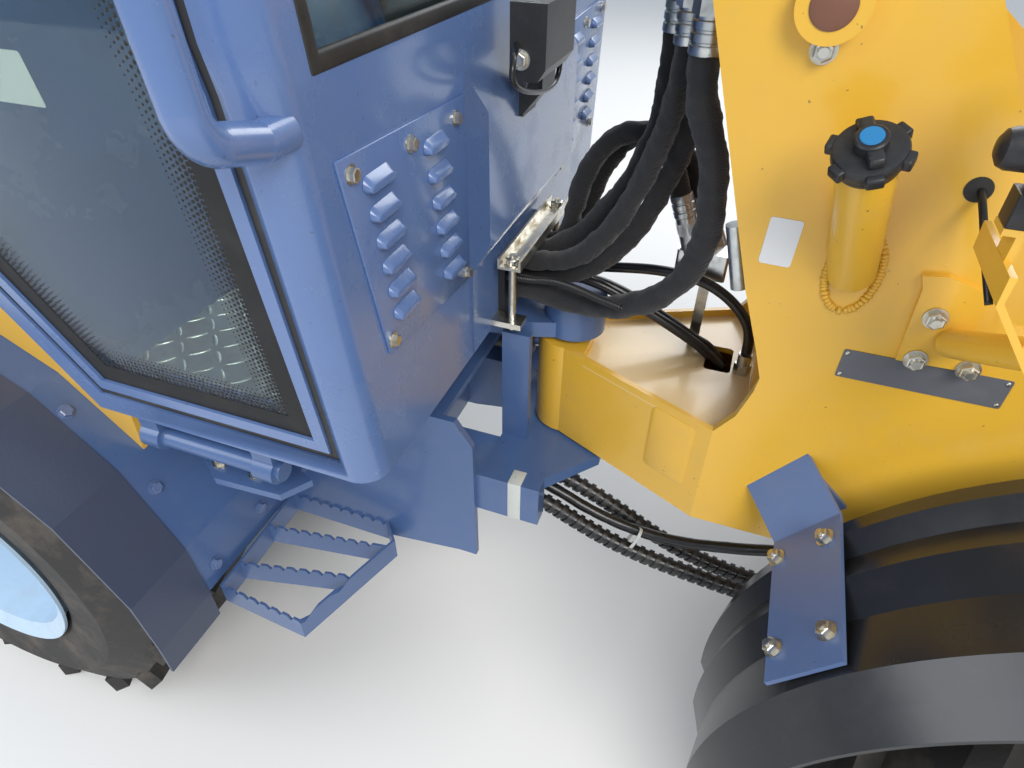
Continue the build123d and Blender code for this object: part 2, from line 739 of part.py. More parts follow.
weight_depth = 95.0
with BuildPart() as counterweight:
    with BuildSketch(PH.offset(380)):
        with BuildLine():
            Polyline((frame_rear_x, -360), (frame_rear_x - 60, -360), (frame_rear_x - weight_depth, -300),
                     (frame_rear_x - weight_depth, 300), (frame_rear_x - 60, 360), (frame_rear_x, 360), close=True)
        make_face()
    extrude(amount=hood_split - 6 - 380)
    for ear_z in (470, 530):
        with BuildSketch(PH.offset(ear_z)):
            with Locations((frame_rear_x - 115, 0)):
                Rectangle(50, 90)
            with Locations((frame_rear_x - 140, 0)):
                Circle(45)
                Circle(tow_bore_radius, mode=Mode.SUBTRACT)
        extrude(amount=16)
counterweight.part.label = "counterweight"
export_step(counterweight.part, "parts/counterweight.step")

with BuildPart() as tail_lamps:
    for side in (-1, 1):
        with BuildSketch(PF.offset(frame_rear_x - weight_depth)):
            with Locations((side * 240, 900)):
                Rectangle(100, 60)
        extrude(amount=-25)
tail_lamps.part.label = "tail_lamps"
export_step(tail_lamps.part, "parts/tail_lamps.step")

# Front frame: neck, tower plates, cross walls, pins' bosses and the filler neck
tower_profile = [
    (216, neck_bottom), (216, neck_top), (236, 730), (247, 770), (249, 790), (237, 825), (211, 893),
    (181, 985), (153, 1072), (128, 1150), (150, 1215), (195, 1240), (250, 1238), (300, 1205), (333, 1158),
    (375, 1087), (520, 860), (700, 700), (905, 640), (905, 470), (820, 440), (690, 440), (560, 455),
    (340, neck_bottom),
]
with BuildPart() as front_frame:
    with BuildSketch(PH.offset(neck_bottom)):
        with BuildLine():
            Polyline((0, -neck_tube_radius), (216, -tower_half), (neck_end, -tower_half), (neck_end, tower_half),
                     (216, tower_half), (0, neck_tube_radius), close=True)
        make_face()
        Circle(neck_tube_radius)
    extrude(amount=neck_top - neck_bottom)
    # hollow of the neck and the sunk pan on top of it
    hollow = [(60, 62), (204, 132), (neck_end - 12, 132)]
    recess = [(30, 55), (212, 140), (neck_end - 24, 142), (neck_end - 10, 128)]
    for outline, low, high in ((hollow, neck_bottom + plate, pan_floor - 8), (recess, pan_floor, neck_top + 8)):
        with BuildSketch(PH.offset(low)):
            with BuildLine():
                Polyline(*outline, *[(x, -y) for x, y in reversed(outline)], close=True)
            make_face()
        extrude(amount=high - low, mode=Mode.SUBTRACT)
    with BuildSketch(PH.offset(pan_floor - 8)):
        with Locations((206, 20)):
            RectangleRounded(36, 60, 6)
    extrude(amount=8, mode=Mode.SUBTRACT)
    with BuildSketch(PH.offset(neck_bottom)):
        with Locations(((neck_end + 345) / 2, 0)):
            Rectangle(360 - neck_end, 2 * tower_half - 2)
    extrude(amount=plate)
    for start in (-tower_half, tower_half - tower_plate):
        with BuildSketch(PV.offset(start)):
            with BuildLine():
                Polyline(*tower_profile, close=True)
            make_face()
        extrude(amount=tower_plate)
    # cross walls
    for wall_x, low, high in ((343, neck_bottom, 600), (895, 475, 540), (600, 460, 600)):
        with BuildSketch(PF.offset(wall_x)):
            with Locations((0, (low + high) / 2)):
                Rectangle(2 * tower_half - 2, high - low)
        extrude(amount=plate)
    # axle saddles
    for start in (-tower_half, tower_half - 60):
        with BuildSketch(PV.offset(start)):
            with Locations((front_axle_x, 460)):
                Rectangle(130, 40)
        extrude(amount=60)
    # bosses
    for start in (-tower_half - 15, tower_half - 1):
        with BuildSketch(PV.offset(start)):
            with Locations(boom_pin):
                Circle(tower_boss_radius)
        extrude(amount=16)
    with BuildSketch(PV.offset(-tower_half)):
        with Locations(boom_pin):
            Circle(boom_pin_radius)
    extrude(amount=2 * tower_half)
    # lift cylinder foot
    for start in (-52, 40):
        with BuildSketch(PV.offset(start)):
            with Locations(lift_foot):
                Circle(30)
            with Locations((lift_foot[0], (lift_foot[1] + neck_bottom + 5) / 2)):
                Rectangle(60, lift_foot[1] - neck_bottom - 5)
        extrude(amount=12)
    with BuildSketch(PV.offset(-52)):
        with Locations(lift_foot):
            Circle(15)
    extrude(amount=104)
    # steering cylinder ears
    for ear_z in (steer_height - 27, steer_height + 17):
        with BuildSketch(PH.offset(ear_z)):
            with Locations(steer_eye):
                Circle(18)
            with Locations((steer_eye[0], (steer_eye[1] + 45) / 2)):
                Rectangle(36, steer_eye[1] - 45)
        extrude(amount=10)
    with BuildSketch(PH.offset(neck_bottom - 1)):
        Circle(pivot_pin_radius + pin_clearance)
    extrude(amount=neck_top - neck_bottom + 2, mode=Mode.SUBTRACT)
    with BuildSketch(Plane(origin=(pivot_x + 300, -tower_half + 4, 930), x_dir=(1, 0, 0), z_dir=(-30, -80, 130))):
        Circle(22)
    extrude(amount=150)
    # bar behind the boom's hub that holds the hose fittings
    with BuildSketch(PH.offset(manifold_z)):
        with Locations((101, 0)):
            Rectangle(78, 2 * tower_half - 2)
    extrude(amount=plate)
front_frame.part.label = "front_frame"
export_step(front_frame.part, "parts/front_frame.step")

cap_plane = Plane(origin=(pivot_x + 300, -tower_half + 4, 930), x_dir=(1, 0, 0), z_dir=(-30, -80, 130))
with BuildPart() as filler_cap:
    with BuildSketch(cap_plane.offset(150)):
        Circle(31)
    extrude(amount=26)
filler_cap.part.label = "filler_cap"
export_step(filler_cap.part, "parts/filler_cap.step")

# Brackets beside the tower with the driving lamps
lamp_centre = (336.0, 262.0, 1110.0)
lamp_radius = 55.0
bracket_plate = [(365, 850), (361, 929), (356, 942), (378, 945), (422, 931), (430, 884), (439, 852)]
bracket_leaf = [
    (368, 1018), (369, 995), (420, 929), (447, 929), (447, 934), (423, 934), (373, 998), (373, 1018)]
with BuildPart() as lamp_brackets:
    for side in (-1, 1):
        with BuildSketch(PV.offset(-side * (tower_half + 3) - 3)):
            with BuildLine():
                Polyline(*bracket_plate, close=True)
            make_face()
        extrude(amount=6)
        tube_foot = (pivot_x + 401.6, side * (tower_half + 9), 881)
        with BuildSketch(Plane(origin=tube_foot, x_dir=(1, 0, 0), z_dir=(34, side * 92, 56))):
            Circle(14)
        extrude(amount=104)
        with BuildSketch(PV.offset(-side * 250 - 48)):
            with BuildLine():
                Polyline(*bracket_leaf, close=True)
            make_face()
        extrude(amount=96)
        with BuildSketch(PV.offset(-side * lamp_centre[1] - 12)):
            with Locations((371, 1027)):
                Rectangle(5, 24)
        extrude(amount=24)
        with BuildSketch(PH.offset(1036)):
            with Locations((371, side * lamp_centre[1])):
                Rectangle(24, 24)
        extrude(amount=5)
lamp_brackets.part.label = "lamp_brackets"
export_step(lamp_brackets.part, "parts/lamp_brackets.step")

with BuildPart() as head_lamps:
    for side in (-1, 1):
        with BuildSketch(PF.offset(lamp_centre[0])):
            with Locations((side * lamp_centre[1], lamp_centre[2])):
                Circle(lamp_radius - 16)
        extrude(amount=18, taper=-40)
        with BuildSketch(PF.offset(lamp_centre[0] + 18)):
            with Locations((side * lamp_centre[1], lamp_centre[2])):
                Circle(lamp_radius)
        extrude(amount=52)
        with BuildSketch(PH.offset(1041)):
            with Locations((371, side * lamp_centre[1])):
                Rectangle(24, 24)
        extrude(amount=30)
head_lamps.part.label = "head_lamps"
export_step(head_lamps.part, "parts/head_lamps.step")

# Front fenders: ribbed shells over the tyres
fender_profile = [
    (200, 470), (226, 478), (250, 466), (287, 480), (330, 468), (393, 478), (420, 462), (445, 448),
    (445, 444), (420, 458), (393, 474), (330, 464), (287, 476), (250, 462), (226, 474), (200, 466),
]
with BuildPart() as front_fenders:
    for side in (-1, 1):
        arc_plane = Plane(
            origin=(pivot_x + front_axle_x, 0, tyre_radius), x_dir=(cos(radians(15)), 0, sin(radians(15))),
            z_dir=(sin(radians(15)), 0, -cos(radians(15))))
        with BuildSketch(arc_plane):
            with BuildLine():
                Polyline(*[(radius, -side * across) for across, radius in fender_profile], close=True)
            make_face()
        revolve(axis=Axis(arc_plane.origin, (0, -1, 0)), revolution_arc=170)
front_fenders.part.label = "front_fenders"
export_step(front_fenders.part, "parts/front_fenders.step")

# Bent brackets that carry the front fenders on the tower plates
fender_crest = 480.0
bracket_slant = 35.0
bracket_steel = 5.0
with BuildPart() as fender_brackets:
    for side in (-1, 1):
        back = radians(180 - bracket_slant)
        bracket_plane = Plane(
            origin=(pivot_x + front_axle_x, 0, tyre_radius), x_dir=(0, side, 0),
            z_dir=(side * sin(back), 0, -side * cos(back)))
        low = fender_crest + seat_gap
        with BuildSketch(bracket_plane.offset(-45 - 30 * side)):
            with BuildLine():
                Polyline((386, low), (200, low), (tower_half, low + 50), (tower_half, low + 57),
                         (202, low + bracket_steel), (386, low + bracket_steel), close=True)
            make_face()
        extrude(amount=90)
        with BuildSketch(PV.offset(-side * (tower_half + bracket_steel / 2) - bracket_steel / 2)):
            with BuildLine():
                Polyline((279, 619), (328, 689), (385, 636), (355, 600), close=True)
            make_face()
        extrude(amount=bracket_steel)
fender_brackets.part.label = "fender_brackets"
export_step(fender_brackets.part, "parts/fender_brackets.step")

# Hoses over the articulation. Each row: name, radius, route from the flap on the cab
sleeve_routes = (
    ("near", 16, ((-78, -50, 786), (-48, -50, 786), (12, -60, 782), (62, -73, 793), (104, -85, 816), (140, -94, 852),
                  (158, -102, 898), (162, -108, 946), (155, -112, 996), (141, -112, 1036), (127, -110, 1066),
                  (127, -110, 1100))),
    ("middle low", 14, ((-78, -16, 786), (-48, -16, 786), (10, -22, 806), (52, -27, 844), (80, -30, 892),
                        (100, -32, 940), (114, -34, 988), (119, -38, 1028), (116, -40, 1066), (116, -40, 1100))),
    ("middle high", 14, ((-78, -34, 818), (-48, -34, 818), (-6, -42, 830), (34, -48, 864), (62, -50, 910),
                         (79, -54, 958), (94, -60, 1004), (103, -69, 1040), (106, -75, 1070), (106, -75, 1100))),
    ("tall", 14, ((-78, 0, 816), (-52, 0, 816), (-6, -2, 846), (30, -6, 892), (58, -10, 934), (76, -14, 980),
                  (84, -18, 1026), (86, -20, 1064), (86, -20, 1100))),
    ("near arch", 14, ((-78, 30, 800), (-60, 30, 800), (-40, 30, 809), (-26, 30, 828), (-18, 31, 884), (-5, 32, 930),
                       (20, 32, 966), (54, 34, 982), (84, 34, 968), (103, 34, 940), (115, 33, 908))),
    ("far arch", 14, ((-78, 62, 800), (-60, 62, 800), (-39, 62, 809), (-22, 63, 830), (-6, 64, 880), (8, 64, 922),
                      (32, 66, 958), (66, 66, 970), (98, 66, 958), (122, 65, 932), (138, 64, 900))),
)
plain_routes = (
    ("loop to the elbow", 7, ((-78, 46, 776), (-48, 46, 776), (9, 32, 788), (50, 22, 800), (104, 13, 812),
                              (156, 8, 812), (194, 5, 798), (224, 3, 772), (238, 0, 746), (238, 0, 718))),
    ("into the pan", 7, ((-78, 6, 772), (-48, 6, 772), (-7, 8, 784), (36, 9, 775), (87, 10, 753), (145, 12, 725),
                         (190, 14, 698), (214, 15, 676))),
    ("into the pan", 7, ((-78, 26, 768), (-48, 26, 768), (12, 28, 774), (62, 30, 760), (118, 32, 732), (164, 33, 706),
                         (194, 34, 694), (212, 34, 670))),
    ("conduit", 4, ((-78, -66, 806), (-48, -66, 806), (-14, -72, 816), (19, -80, 816), (50, -92, 814),
                    (80, -104, 816))),
)
lower_routes = (
    ("outer drive", 13, ((-250, -122, 478), (-180, -122, 478), (-100, -122, 477), (-40, -122, 471), (8, -121, 460),
                         (59, -120, 433), (117, -119, 409), (182, -118, 393), (245, -117, 385), (302, -115, 377),
                         (380, -110, 369), (470, -102, 363), (560, -92, 360), (port_face_x, -92, 360))),
    ("inner drive", 13, ((-250, -73, 493), (-180, -73, 493), (-100, -73, 491), (-36, -73, 486), (20, -73, 475),
                         (70, -73, 455), (122, -73, 428), (168, -73, 402), (218, -73, 380), (276, -72, 364),
                         (345, -69, 353), (440, -60, 348), (545, -48, 346), (port_face_x, -48, 346))),
    ("upper drive", 9, ((-250, -98, 468), (-180, -98, 468), (-100, -98, 474), (-45, -98, 479), (1, -98, 475),
                        (72, -97, 440), (140, -97, 424), (206, -97, 423), (270, -97, 438), (345, -97, 464),
                        (430, -98, 498), (500, -98, 528), (555, -98, 546), (600, -98, 546))),
)
for label, routes in (("sleeved_hoses", sleeve_routes), ("plain_hoses", plain_routes), ("lower_hoses", lower_routes)):
    with BuildPart() as hoses:
        for name, hose_radius, route in routes:
            points = [Vector(pivot_x + x, y, z) for x, y, z in route]
            bends = []
            for before, corner, after in zip(points, points[1:], points[2:]):
                turn = radians((corner - before).get_angle(after - corner))
                shorter = min((corner - before).length, (after - corner).length)
                bends.append(0.45 * shorter / tan(turn / 2))
            with BuildLine() as run:
                FilletPolyline(*points, radius=bends)
            with BuildSketch(Plane(origin=run.line @ 0, z_dir=run.line % 0)):
                Circle(hose_radius)
            sweep(path=run.line)
            length = sum(edge.length for edge in run.line.edges())
            print(label, name, "length", round(length), "tightest bend", round(min(bends)))
    hoses.part.label = label
    export_step(hoses.part, "parts/" + label + ".step")

# Crimped fittings of the hoses, the block for the two arched ones and the elbow on the pan
fitting_length = 50.0
with BuildPart() as hose_fittings:
    for name, hose_radius, route in sleeve_routes[:4]:
        top_x, top_y, top_z = route[-1]
        with BuildSketch(PH.offset(top_z)):
            with Locations((top_x, top_y)):
                Circle(hose_radius - 1)
        extrude(amount=fitting_length)
        with BuildSketch(PH.offset(manifold_z - 20)):
            with Locations((top_x, top_y)):
                RegularPolygon(hose_radius + 2, 6)
        extrude(amount=20)
    for name, hose_radius, route in sleeve_routes[4:]:
        (last_x, last_y, last_z), (end_x, end_y, end_z) = route[-2:]
        down = (end_x - last_x, end_y - last_y, end_z - last_z)
        with BuildSketch(Plane(origin=(pivot_x + end_x, end_y, end_z), x_dir=(0, 1, 0), z_dir=down)):
            Circle(hose_radius - 1)
        extrude(amount=80)
    with BuildSketch(PH.offset(804)):
        with Locations((156, 53)):
            RectangleRounded(66, 62, 4)
    extrude(amount=36)
    with BuildSketch(PH.offset(pan_floor)):
        with Locations((165, 62)):
            Rectangle(14, 30)
    extrude(amount=804 - pan_floor)
    with BuildSketch(PH.offset(pan_floor)):
        with Locations((238, 0)):
            Circle(9)
    extrude(amount=718 - pan_floor)
    with BuildSketch(PH.offset(pan_floor)):
        with Locations((238, 0)):
            RegularPolygon(11.5, 6)
    extrude(amount=14)
    # adaptor on the tower plate's inner face
    adaptor_top = (186, -129, 952)
    adaptor_low = (205, -129, 884)
    adaptor_aim = tuple(low - top for low, top in zip(adaptor_low, adaptor_top))
    with BuildSketch(Plane(origin=(pivot_x + adaptor_top[0], *adaptor_top[1:]), x_dir=(0, 1, 0), z_dir=adaptor_aim)):
        Circle(9)
    extrude(amount=hypot(*adaptor_aim))
hose_fittings.part.label = "hose_fittings"
export_step(hose_fittings.part, "parts/hose_fittings.step")

# Boom: two webs with plates above and below, a hub at the tower and a nose tube at the bucket
boom_angle = degrees(atan2(bucket_pin[1] - boom_pin[1], bucket_pin[0] - boom_pin[0]))
boom_length = hypot(bucket_pin[0] - boom_pin[0], bucket_pin[1] - boom_pin[1])
boom_plane = Plane(
    origin=(pivot_x + boom_pin[0], 0, boom_pin[1]),
    x_dir=(cos(radians(boom_angle)), 0, sin(radians(boom_angle))), z_dir=(0, -1, 0))
bucket_pin_radius = 20.0
nose_radius = 42.0
tilt_foot = (572.0, 140.0)
tilt_lever = 140.0
tilt_angle = 124.0
tilt_eye = (boom_length + tilt_lever * cos(radians(tilt_angle)), tilt_lever * sin(radians(tilt_angle)))
lift_eye = (
    lift_reach * cos(radians(lift_angle - boom_angle)), lift_reach * sin(radians(lift_angle - boom_angle)))
web_profile = [
    (0, 60), (60, 75), (850, 75), (1300, 46), (boom_length, 42), (boom_length, -42), (1150, -65), (60, -65), (0, -60),
]
with BuildPart() as boom:
    for start in (-boom_half, boom_half - boom_web):
        with BuildSketch(boom_plane.offset(start)):
            with BuildLine():
                Polyline(*web_profile, close=True)
            make_face()
            Circle(60)
            with Locations((boom_length, 0)):
                Circle(nose_radius)
        extrude(amount=boom_web)
    with BuildSketch(boom_plane.offset(-boom_half)):
        with BuildLine():
            Polyline((70, 63), (70, 75), (850, 75), (1300, 46), (1390, 44), (1390, 32), (1300, 34), (850, 63), close=True)
        make_face()
        with BuildLine():
            Polyline((450, -65), (450, -53), (1150, -53), (1390, -38), (1390, -50), (1150, -65), close=True)
        make_face()
    extrude(amount=2 * boom_half)
    with BuildSketch(boom_plane.offset(-tower_half + tower_plate + 2)):
        Circle(44)
    extrude(amount=2 * (tower_half - tower_plate - 2))
    with BuildSketch(boom_plane.offset(-boom_half)):
        with Locations((boom_length, 0)):
            Circle(nose_radius)
    extrude(amount=2 * boom_half)
    for start in (-boom_half - 8, boom_half):
        with BuildSketch(boom_plane.offset(start)):
            with Locations(lift_eye):
                Circle(24)
        extrude(amount=8)
    # lugs for the tilt cylinder
    for start in (-48, 36):
        with BuildSketch(boom_plane.offset(start)):
            with Locations(tilt_foot):
                Circle(28)
            with BuildLine():
                Polyline((tilt_foot[0] - 60, 74), (tilt_foot[0] - 27, 145), (tilt_foot[0] + 27, 145),
                         (tilt_foot[0] + 60, 74), close=True)
            make_face()
        extrude(amount=12)
    with BuildSketch(boom_plane.offset(-48)):
        with Locations(tilt_foot):
            Circle(14)
    extrude(amount=96)
    with BuildSketch(boom_plane.offset(-tower_half)):
        Circle(boom_pin_radius + pin_clearance)
    extrude(amount=2 * tower_half, mode=Mode.SUBTRACT)
    with BuildSketch(boom_plane.offset(-tower_half)):
        with Locations((boom_length, 0)):
            Circle(bucket_pin_radius + pin_clearance)
    extrude(amount=2 * tower_half, mode=Mode.SUBTRACT)
boom.part.label = "boom"
export_step(boom.part, "parts/boom.step")

# Cylinders: name, foot, eye, level of the foot's mid plane and sizes
lift_top = (boom_pin[0] + lift_reach * cos(radians(lift_angle)), boom_pin[1] + lift_reach * sin(radians(lift_angle)))


def on_boom(point):
    run, rise = point
    turn = radians(boom_angle)
    return (boom_pin[0] + run * cos(turn) - rise * sin(turn), boom_pin[1] + run * sin(turn) + rise * cos(turn))


tilt_back = on_boom(tilt_foot)
tilt_front = on_boom(tilt_eye)
cylinder_table = (
    ("lift", lift_foot, lift_top, 38.0, 16.0, 30.0, 15.0, 28.0, 370.0, 55.0, 39.0, 33.0, 46.0),
    ("tilt", tilt_back, tilt_front, 30.0, 14.0, 26.0, 14.0, 22.0, 721.0, 100.0, 35.0, 25.0, 25.0),
)
for name, foot, eye, barrel_r, rod_r, foot_r, foot_pin_r, eye_r, gland, rod_start, foot_half, eye_half, pin_half in (
        cylinder_table):
    reach = hypot(eye[0] - foot[0], eye[1] - foot[1])
    aim = ((eye[0] - foot[0]) / reach, 0, (eye[1] - foot[1]) / reach)
    along = Plane(origin=(pivot_x + foot[0], 0, foot[1]), x_dir=(0, 1, 0), z_dir=aim)
    across_foot = Plane(origin=(pivot_x + foot[0], 0, foot[1]), x_dir=(1, 0, 0), z_dir=(0, -1, 0))
    across_eye = Plane(origin=(pivot_x + eye[0], 0, eye[1]), x_dir=(1, 0, 0), z_dir=(0, -1, 0))
    with BuildPart() as barrel:
        with BuildSketch(along.offset(foot_r - 6)):
            Circle(barrel_r)
        extrude(amount=gland - foot_r + 6)
        with BuildSketch(across_foot.offset(-foot_half)):
            Circle(foot_r)
        extrude(amount=2 * foot_half)
        with BuildSketch(across_foot.offset(-foot_half)):
            Circle(foot_pin_r + pin_clearance)
        extrude(amount=2 * foot_half, mode=Mode.SUBTRACT)
        with BuildSketch(along.offset(50)):
            Circle(rod_r + slide_clearance)
        extrude(amount=gland, mode=Mode.SUBTRACT)
    barrel.part.label = name + "_barrel"
    export_step(barrel.part, "parts/" + name + "_barrel.step")
    with BuildPart() as rod:
        with BuildSketch(along.offset(rod_start)):
            Circle(rod_r)
        extrude(amount=reach - rod_start)
        with BuildSketch(across_eye.offset(-eye_half)):
            Circle(eye_r)
        extrude(amount=2 * eye_half)
        with BuildSketch(across_eye.offset(-pin_half)):
            Circle(foot_pin_r - 1)
        extrude(amount=2 * pin_half)
    rod.part.label = name + "_rod"
    export_step(rod.part, "parts/" + name + "_rod.step")

# Steering cylinder
steer_reach = hypot(steer_eye[0] - steer_foot[0], steer_eye[1] - steer_foot[1])
steer_aim = ((steer_eye[0] - steer_foot[0]) / steer_reach, (steer_eye[1] - steer_foot[1]) / steer_reach, 0)
steer_along = Plane(
    origin=(pivot_x + steer_foot[0], steer_foot[1], steer_height), x_dir=(0, 0, 1), z_dir=steer_aim)
with BuildPart() as steer_barrel:
    with BuildSketch(steer_along.offset(18)):
        Circle(25)
    extrude(amount=310)
    with BuildSketch(PH.offset(steer_height - 27)):
        with Locations(steer_foot):
            Circle(24)
    extrude(amount=54)
    with BuildSketch(PH.offset(steer_height - 27)):
        with Locations(steer_foot):
            Circle(steer_pin_radius + pin_clearance)
    extrude(amount=54, mode=Mode.SUBTRACT)
    with BuildSketch(steer_along.offset(40)):
        Circle(12 + slide_clearance)
    extrude(amount=300, mode=Mode.SUBTRACT)
steer_barrel.part.label = "steer_barrel"
export_step(steer_barrel.part, "parts/steer_barrel.step")

with BuildPart() as steer_rod:
    with BuildSketch(steer_along.offset(130)):
        Circle(12)
    extrude(amount=steer_reach - 130)
    with BuildSketch(PH.offset(steer_height - 15)):
        with Locations(steer_eye):
            Circle(20)
    extrude(amount=30)
steer_rod.part.label = "steer_rod"
export_step(steer_rod.part, "parts/steer_rod.step")

# Bucket carrier with its pin, and the bucket
carrier_x = bucket_pin[0] + 72
with BuildPart() as carrier:
    with BuildSketch(PF.offset(carrier_x - plate)):
        with Locations((0, 280)):
            Rectangle(420, 280)
    extrude(amount=plate)
    for start in (-boom_half - 18, boom_half + 6):
        with BuildSketch(PV.offset(start)):
            with Locations(bucket_pin):
                Circle(38)
            with BuildLine():
                Polyline((bucket_pin[0], 232), (carrier_x - plate, 180), (carrier_x - plate, 360), (bucket_pin[0], 308),
                         close=True)
            make_face()
        extrude(amount=12)
    with BuildSketch(PV.offset(-boom_half - 18)):
        with Locations(bucket_pin):
            Circle(bucket_pin_radius)
    extrude(amount=2 * boom_half + 36)
    for start in (-38, 26):
        with BuildSketch(PV.offset(start)):
            with Locations(tilt_front):
                Circle(26)
            with BuildLine():
                Polyline((tilt_front[0], tilt_front[1] - 26), (carrier_x - plate, 340), (carrier_x - plate, 420),
                         (tilt_front[0] + 8, tilt_front[1] + 24), close=True)
            make_face()
        extrude(amount=12)
carrier.part.label = "carrier"
export_step(carrier.part, "parts/carrier.step")

bucket_half = 515.0
bucket_outer = [
    (carrier_x, 110), (carrier_x + 70, 15), (carrier_x + 590, 15), (carrier_x + 590, 25), (carrier_x + 180, 520),
    (carrier_x + 90, 560), (carrier_x, 450),
]
bucket_inner = [
    (carrier_x + 10, 114), (carrier_x + 75, 25), (carrier_x + 620, 25), (carrier_x + 620, 620),
    (carrier_x + 176, 620), (carrier_x + 174, 512), (carrier_x + 93, 548), (carrier_x + 10, 446),
]
with BuildPart() as bucket:
    with BuildSketch(PV.offset(-bucket_half)):
        with BuildLine():
            Polyline(*bucket_outer, close=True)
        make_face()
    extrude(amount=2 * bucket_half)
    with BuildSketch(PV.offset(-bucket_half + 10)):
        with BuildLine():
            Polyline(*bucket_inner, close=True)
        make_face()
    extrude(amount=2 * bucket_half - 20, mode=Mode.SUBTRACT)
bucket.part.label = "bucket"
export_step(bucket.part, "parts/bucket.step")
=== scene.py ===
import json
from math import cos, hypot, pi, radians, sin

import bmesh
import bpy
from mathutils import Euler, Matrix, Vector

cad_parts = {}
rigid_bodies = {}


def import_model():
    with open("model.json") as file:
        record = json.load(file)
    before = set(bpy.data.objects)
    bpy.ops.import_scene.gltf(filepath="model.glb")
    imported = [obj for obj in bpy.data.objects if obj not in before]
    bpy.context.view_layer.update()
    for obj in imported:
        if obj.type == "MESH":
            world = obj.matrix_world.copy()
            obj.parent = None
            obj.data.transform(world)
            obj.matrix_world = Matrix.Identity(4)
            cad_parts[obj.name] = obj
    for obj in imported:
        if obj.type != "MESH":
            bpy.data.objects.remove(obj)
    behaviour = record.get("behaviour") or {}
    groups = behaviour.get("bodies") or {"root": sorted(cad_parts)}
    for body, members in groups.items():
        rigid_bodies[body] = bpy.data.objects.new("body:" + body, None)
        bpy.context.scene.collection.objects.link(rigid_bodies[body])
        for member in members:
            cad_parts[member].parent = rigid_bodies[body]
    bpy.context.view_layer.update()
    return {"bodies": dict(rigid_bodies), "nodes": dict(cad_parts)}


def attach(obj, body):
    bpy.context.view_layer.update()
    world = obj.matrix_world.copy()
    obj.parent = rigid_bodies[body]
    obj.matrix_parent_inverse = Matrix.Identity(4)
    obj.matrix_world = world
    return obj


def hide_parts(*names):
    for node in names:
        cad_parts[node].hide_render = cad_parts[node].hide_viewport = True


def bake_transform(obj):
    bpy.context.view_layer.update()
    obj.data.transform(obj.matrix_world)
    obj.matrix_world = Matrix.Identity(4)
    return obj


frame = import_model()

# Compact wheel loader: finishes, hoses, fasteners and trim over the solids of the part.
# Places are written in millimetres, measured forward from the articulation axis.

ARTICULATION_X = -288.5
FRONT_AXLE_X, REAR_AXLE_X, AXLE_Z = 755, -847, 380
TOWER_SKIN_Y = 150.1
# the cab's side wall, as height and half width at its sill, waist and roof
CAB_SILL, CAB_WAIST, CAB_ROOF = (740, 405), (1150, 450), (2120, 425)
# the cab's front wall, upright to the foot of the windscreen and leaning back above it
CAB_FRONT_X, SCREEN_FOOT_Z, SCREEN_LEAN = -90, 1120, 90
MERGE = 0.00002
BOTH_SIDES = (-1, 1)
UP, AHEAD, TO_VIEWER = (0, 0, 1), (1, 0, 0), (0, -1, 0)
BODIES = frame["bodies"]
NODES = frame["nodes"]


def at(x, y, z):
    return Vector(((ARTICULATION_X + x) / 1000, y / 1000, z / 1000))


# camera, floor and light

camera_data = bpy.data.cameras.new("camera")
camera_data.lens = 23.253
camera_data.sensor_width = 36.0
camera_data.clip_start = 0.02
camera = bpy.data.objects.new("camera", camera_data)
camera.location = at(188.0, -782.1, 1236.5)
camera.rotation_euler = Euler((radians(51.362), radians(-0.519), radians(20.266)))
bpy.context.scene.collection.objects.link(camera)
bpy.context.scene.camera = camera
bpy.context.scene.view_settings.view_transform = "Standard"


def shader(name):
    material = bpy.data.materials.new(name)
    material.use_nodes = True
    nodes = material.node_tree.nodes
    links = material.node_tree.links
    principled = nodes["Principled BSDF"]
    return material, nodes, links, principled


def object_noise(nodes, links, scale, detail=3.0, rough=0.5, stretch=(1.0, 1.0, 1.0)):
    place = nodes.new("ShaderNodeTexCoord")
    mapping = nodes.new("ShaderNodeMapping")
    mapping.inputs["Scale"].default_value = stretch
    noise = nodes.new("ShaderNodeTexNoise")
    noise.inputs["Scale"].default_value = scale
    noise.inputs["Detail"].default_value = detail
    noise.inputs["Roughness"].default_value = rough
    links.new(place.outputs["Object"], mapping.inputs["Vector"])
    links.new(mapping.outputs["Vector"], noise.inputs["Vector"])
    return noise.outputs["Fac"]


def banded(nodes, links, value, low, high):
    band = nodes.new("ShaderNodeMapRange")
    band.inputs["From Min"].default_value = low
    band.inputs["From Max"].default_value = high
    links.new(value, band.inputs["Value"])
    return band.outputs["Result"]


def mixed(nodes, links, share, first, second):
    mix = nodes.new("ShaderNodeMix")
    mix.data_type = "RGBA"
    for socket, value in ((mix.inputs[6], first), (mix.inputs[7], second)):
        if isinstance(value, tuple):
            socket.default_value = (*value, 1.0)
        else:
            links.new(value, socket)
    links.new(share, mix.inputs[0])
    return mix.outputs[2]


def raised(nodes, links, height, strength, distance):
    bump = nodes.new("ShaderNodeBump")
    bump.inputs["Strength"].default_value = strength
    bump.inputs["Distance"].default_value = distance
    links.new(height, bump.inputs["Height"])
    return bump.outputs["Normal"]


# Paler peach laid on the pan floor as a painted highlight.
PAN_PAINTED_HIGHLIGHT = (0.82, 0.60, 0.30)
DUST_GREY = (0.30, 0.30, 0.30)
DARK_DUST = (0.07, 0.07, 0.07)
BARE_CHIP = (0.06, 0.05, 0.045)


def times(nodes, links, value, factor):
    product = nodes.new("ShaderNodeMath")
    product.operation = "MULTIPLY"
    links.new(value, product.inputs[0])
    if isinstance(factor, float):
        product.inputs[1].default_value = factor
    else:
        links.new(factor, product.inputs[1])
    return product.outputs[0]


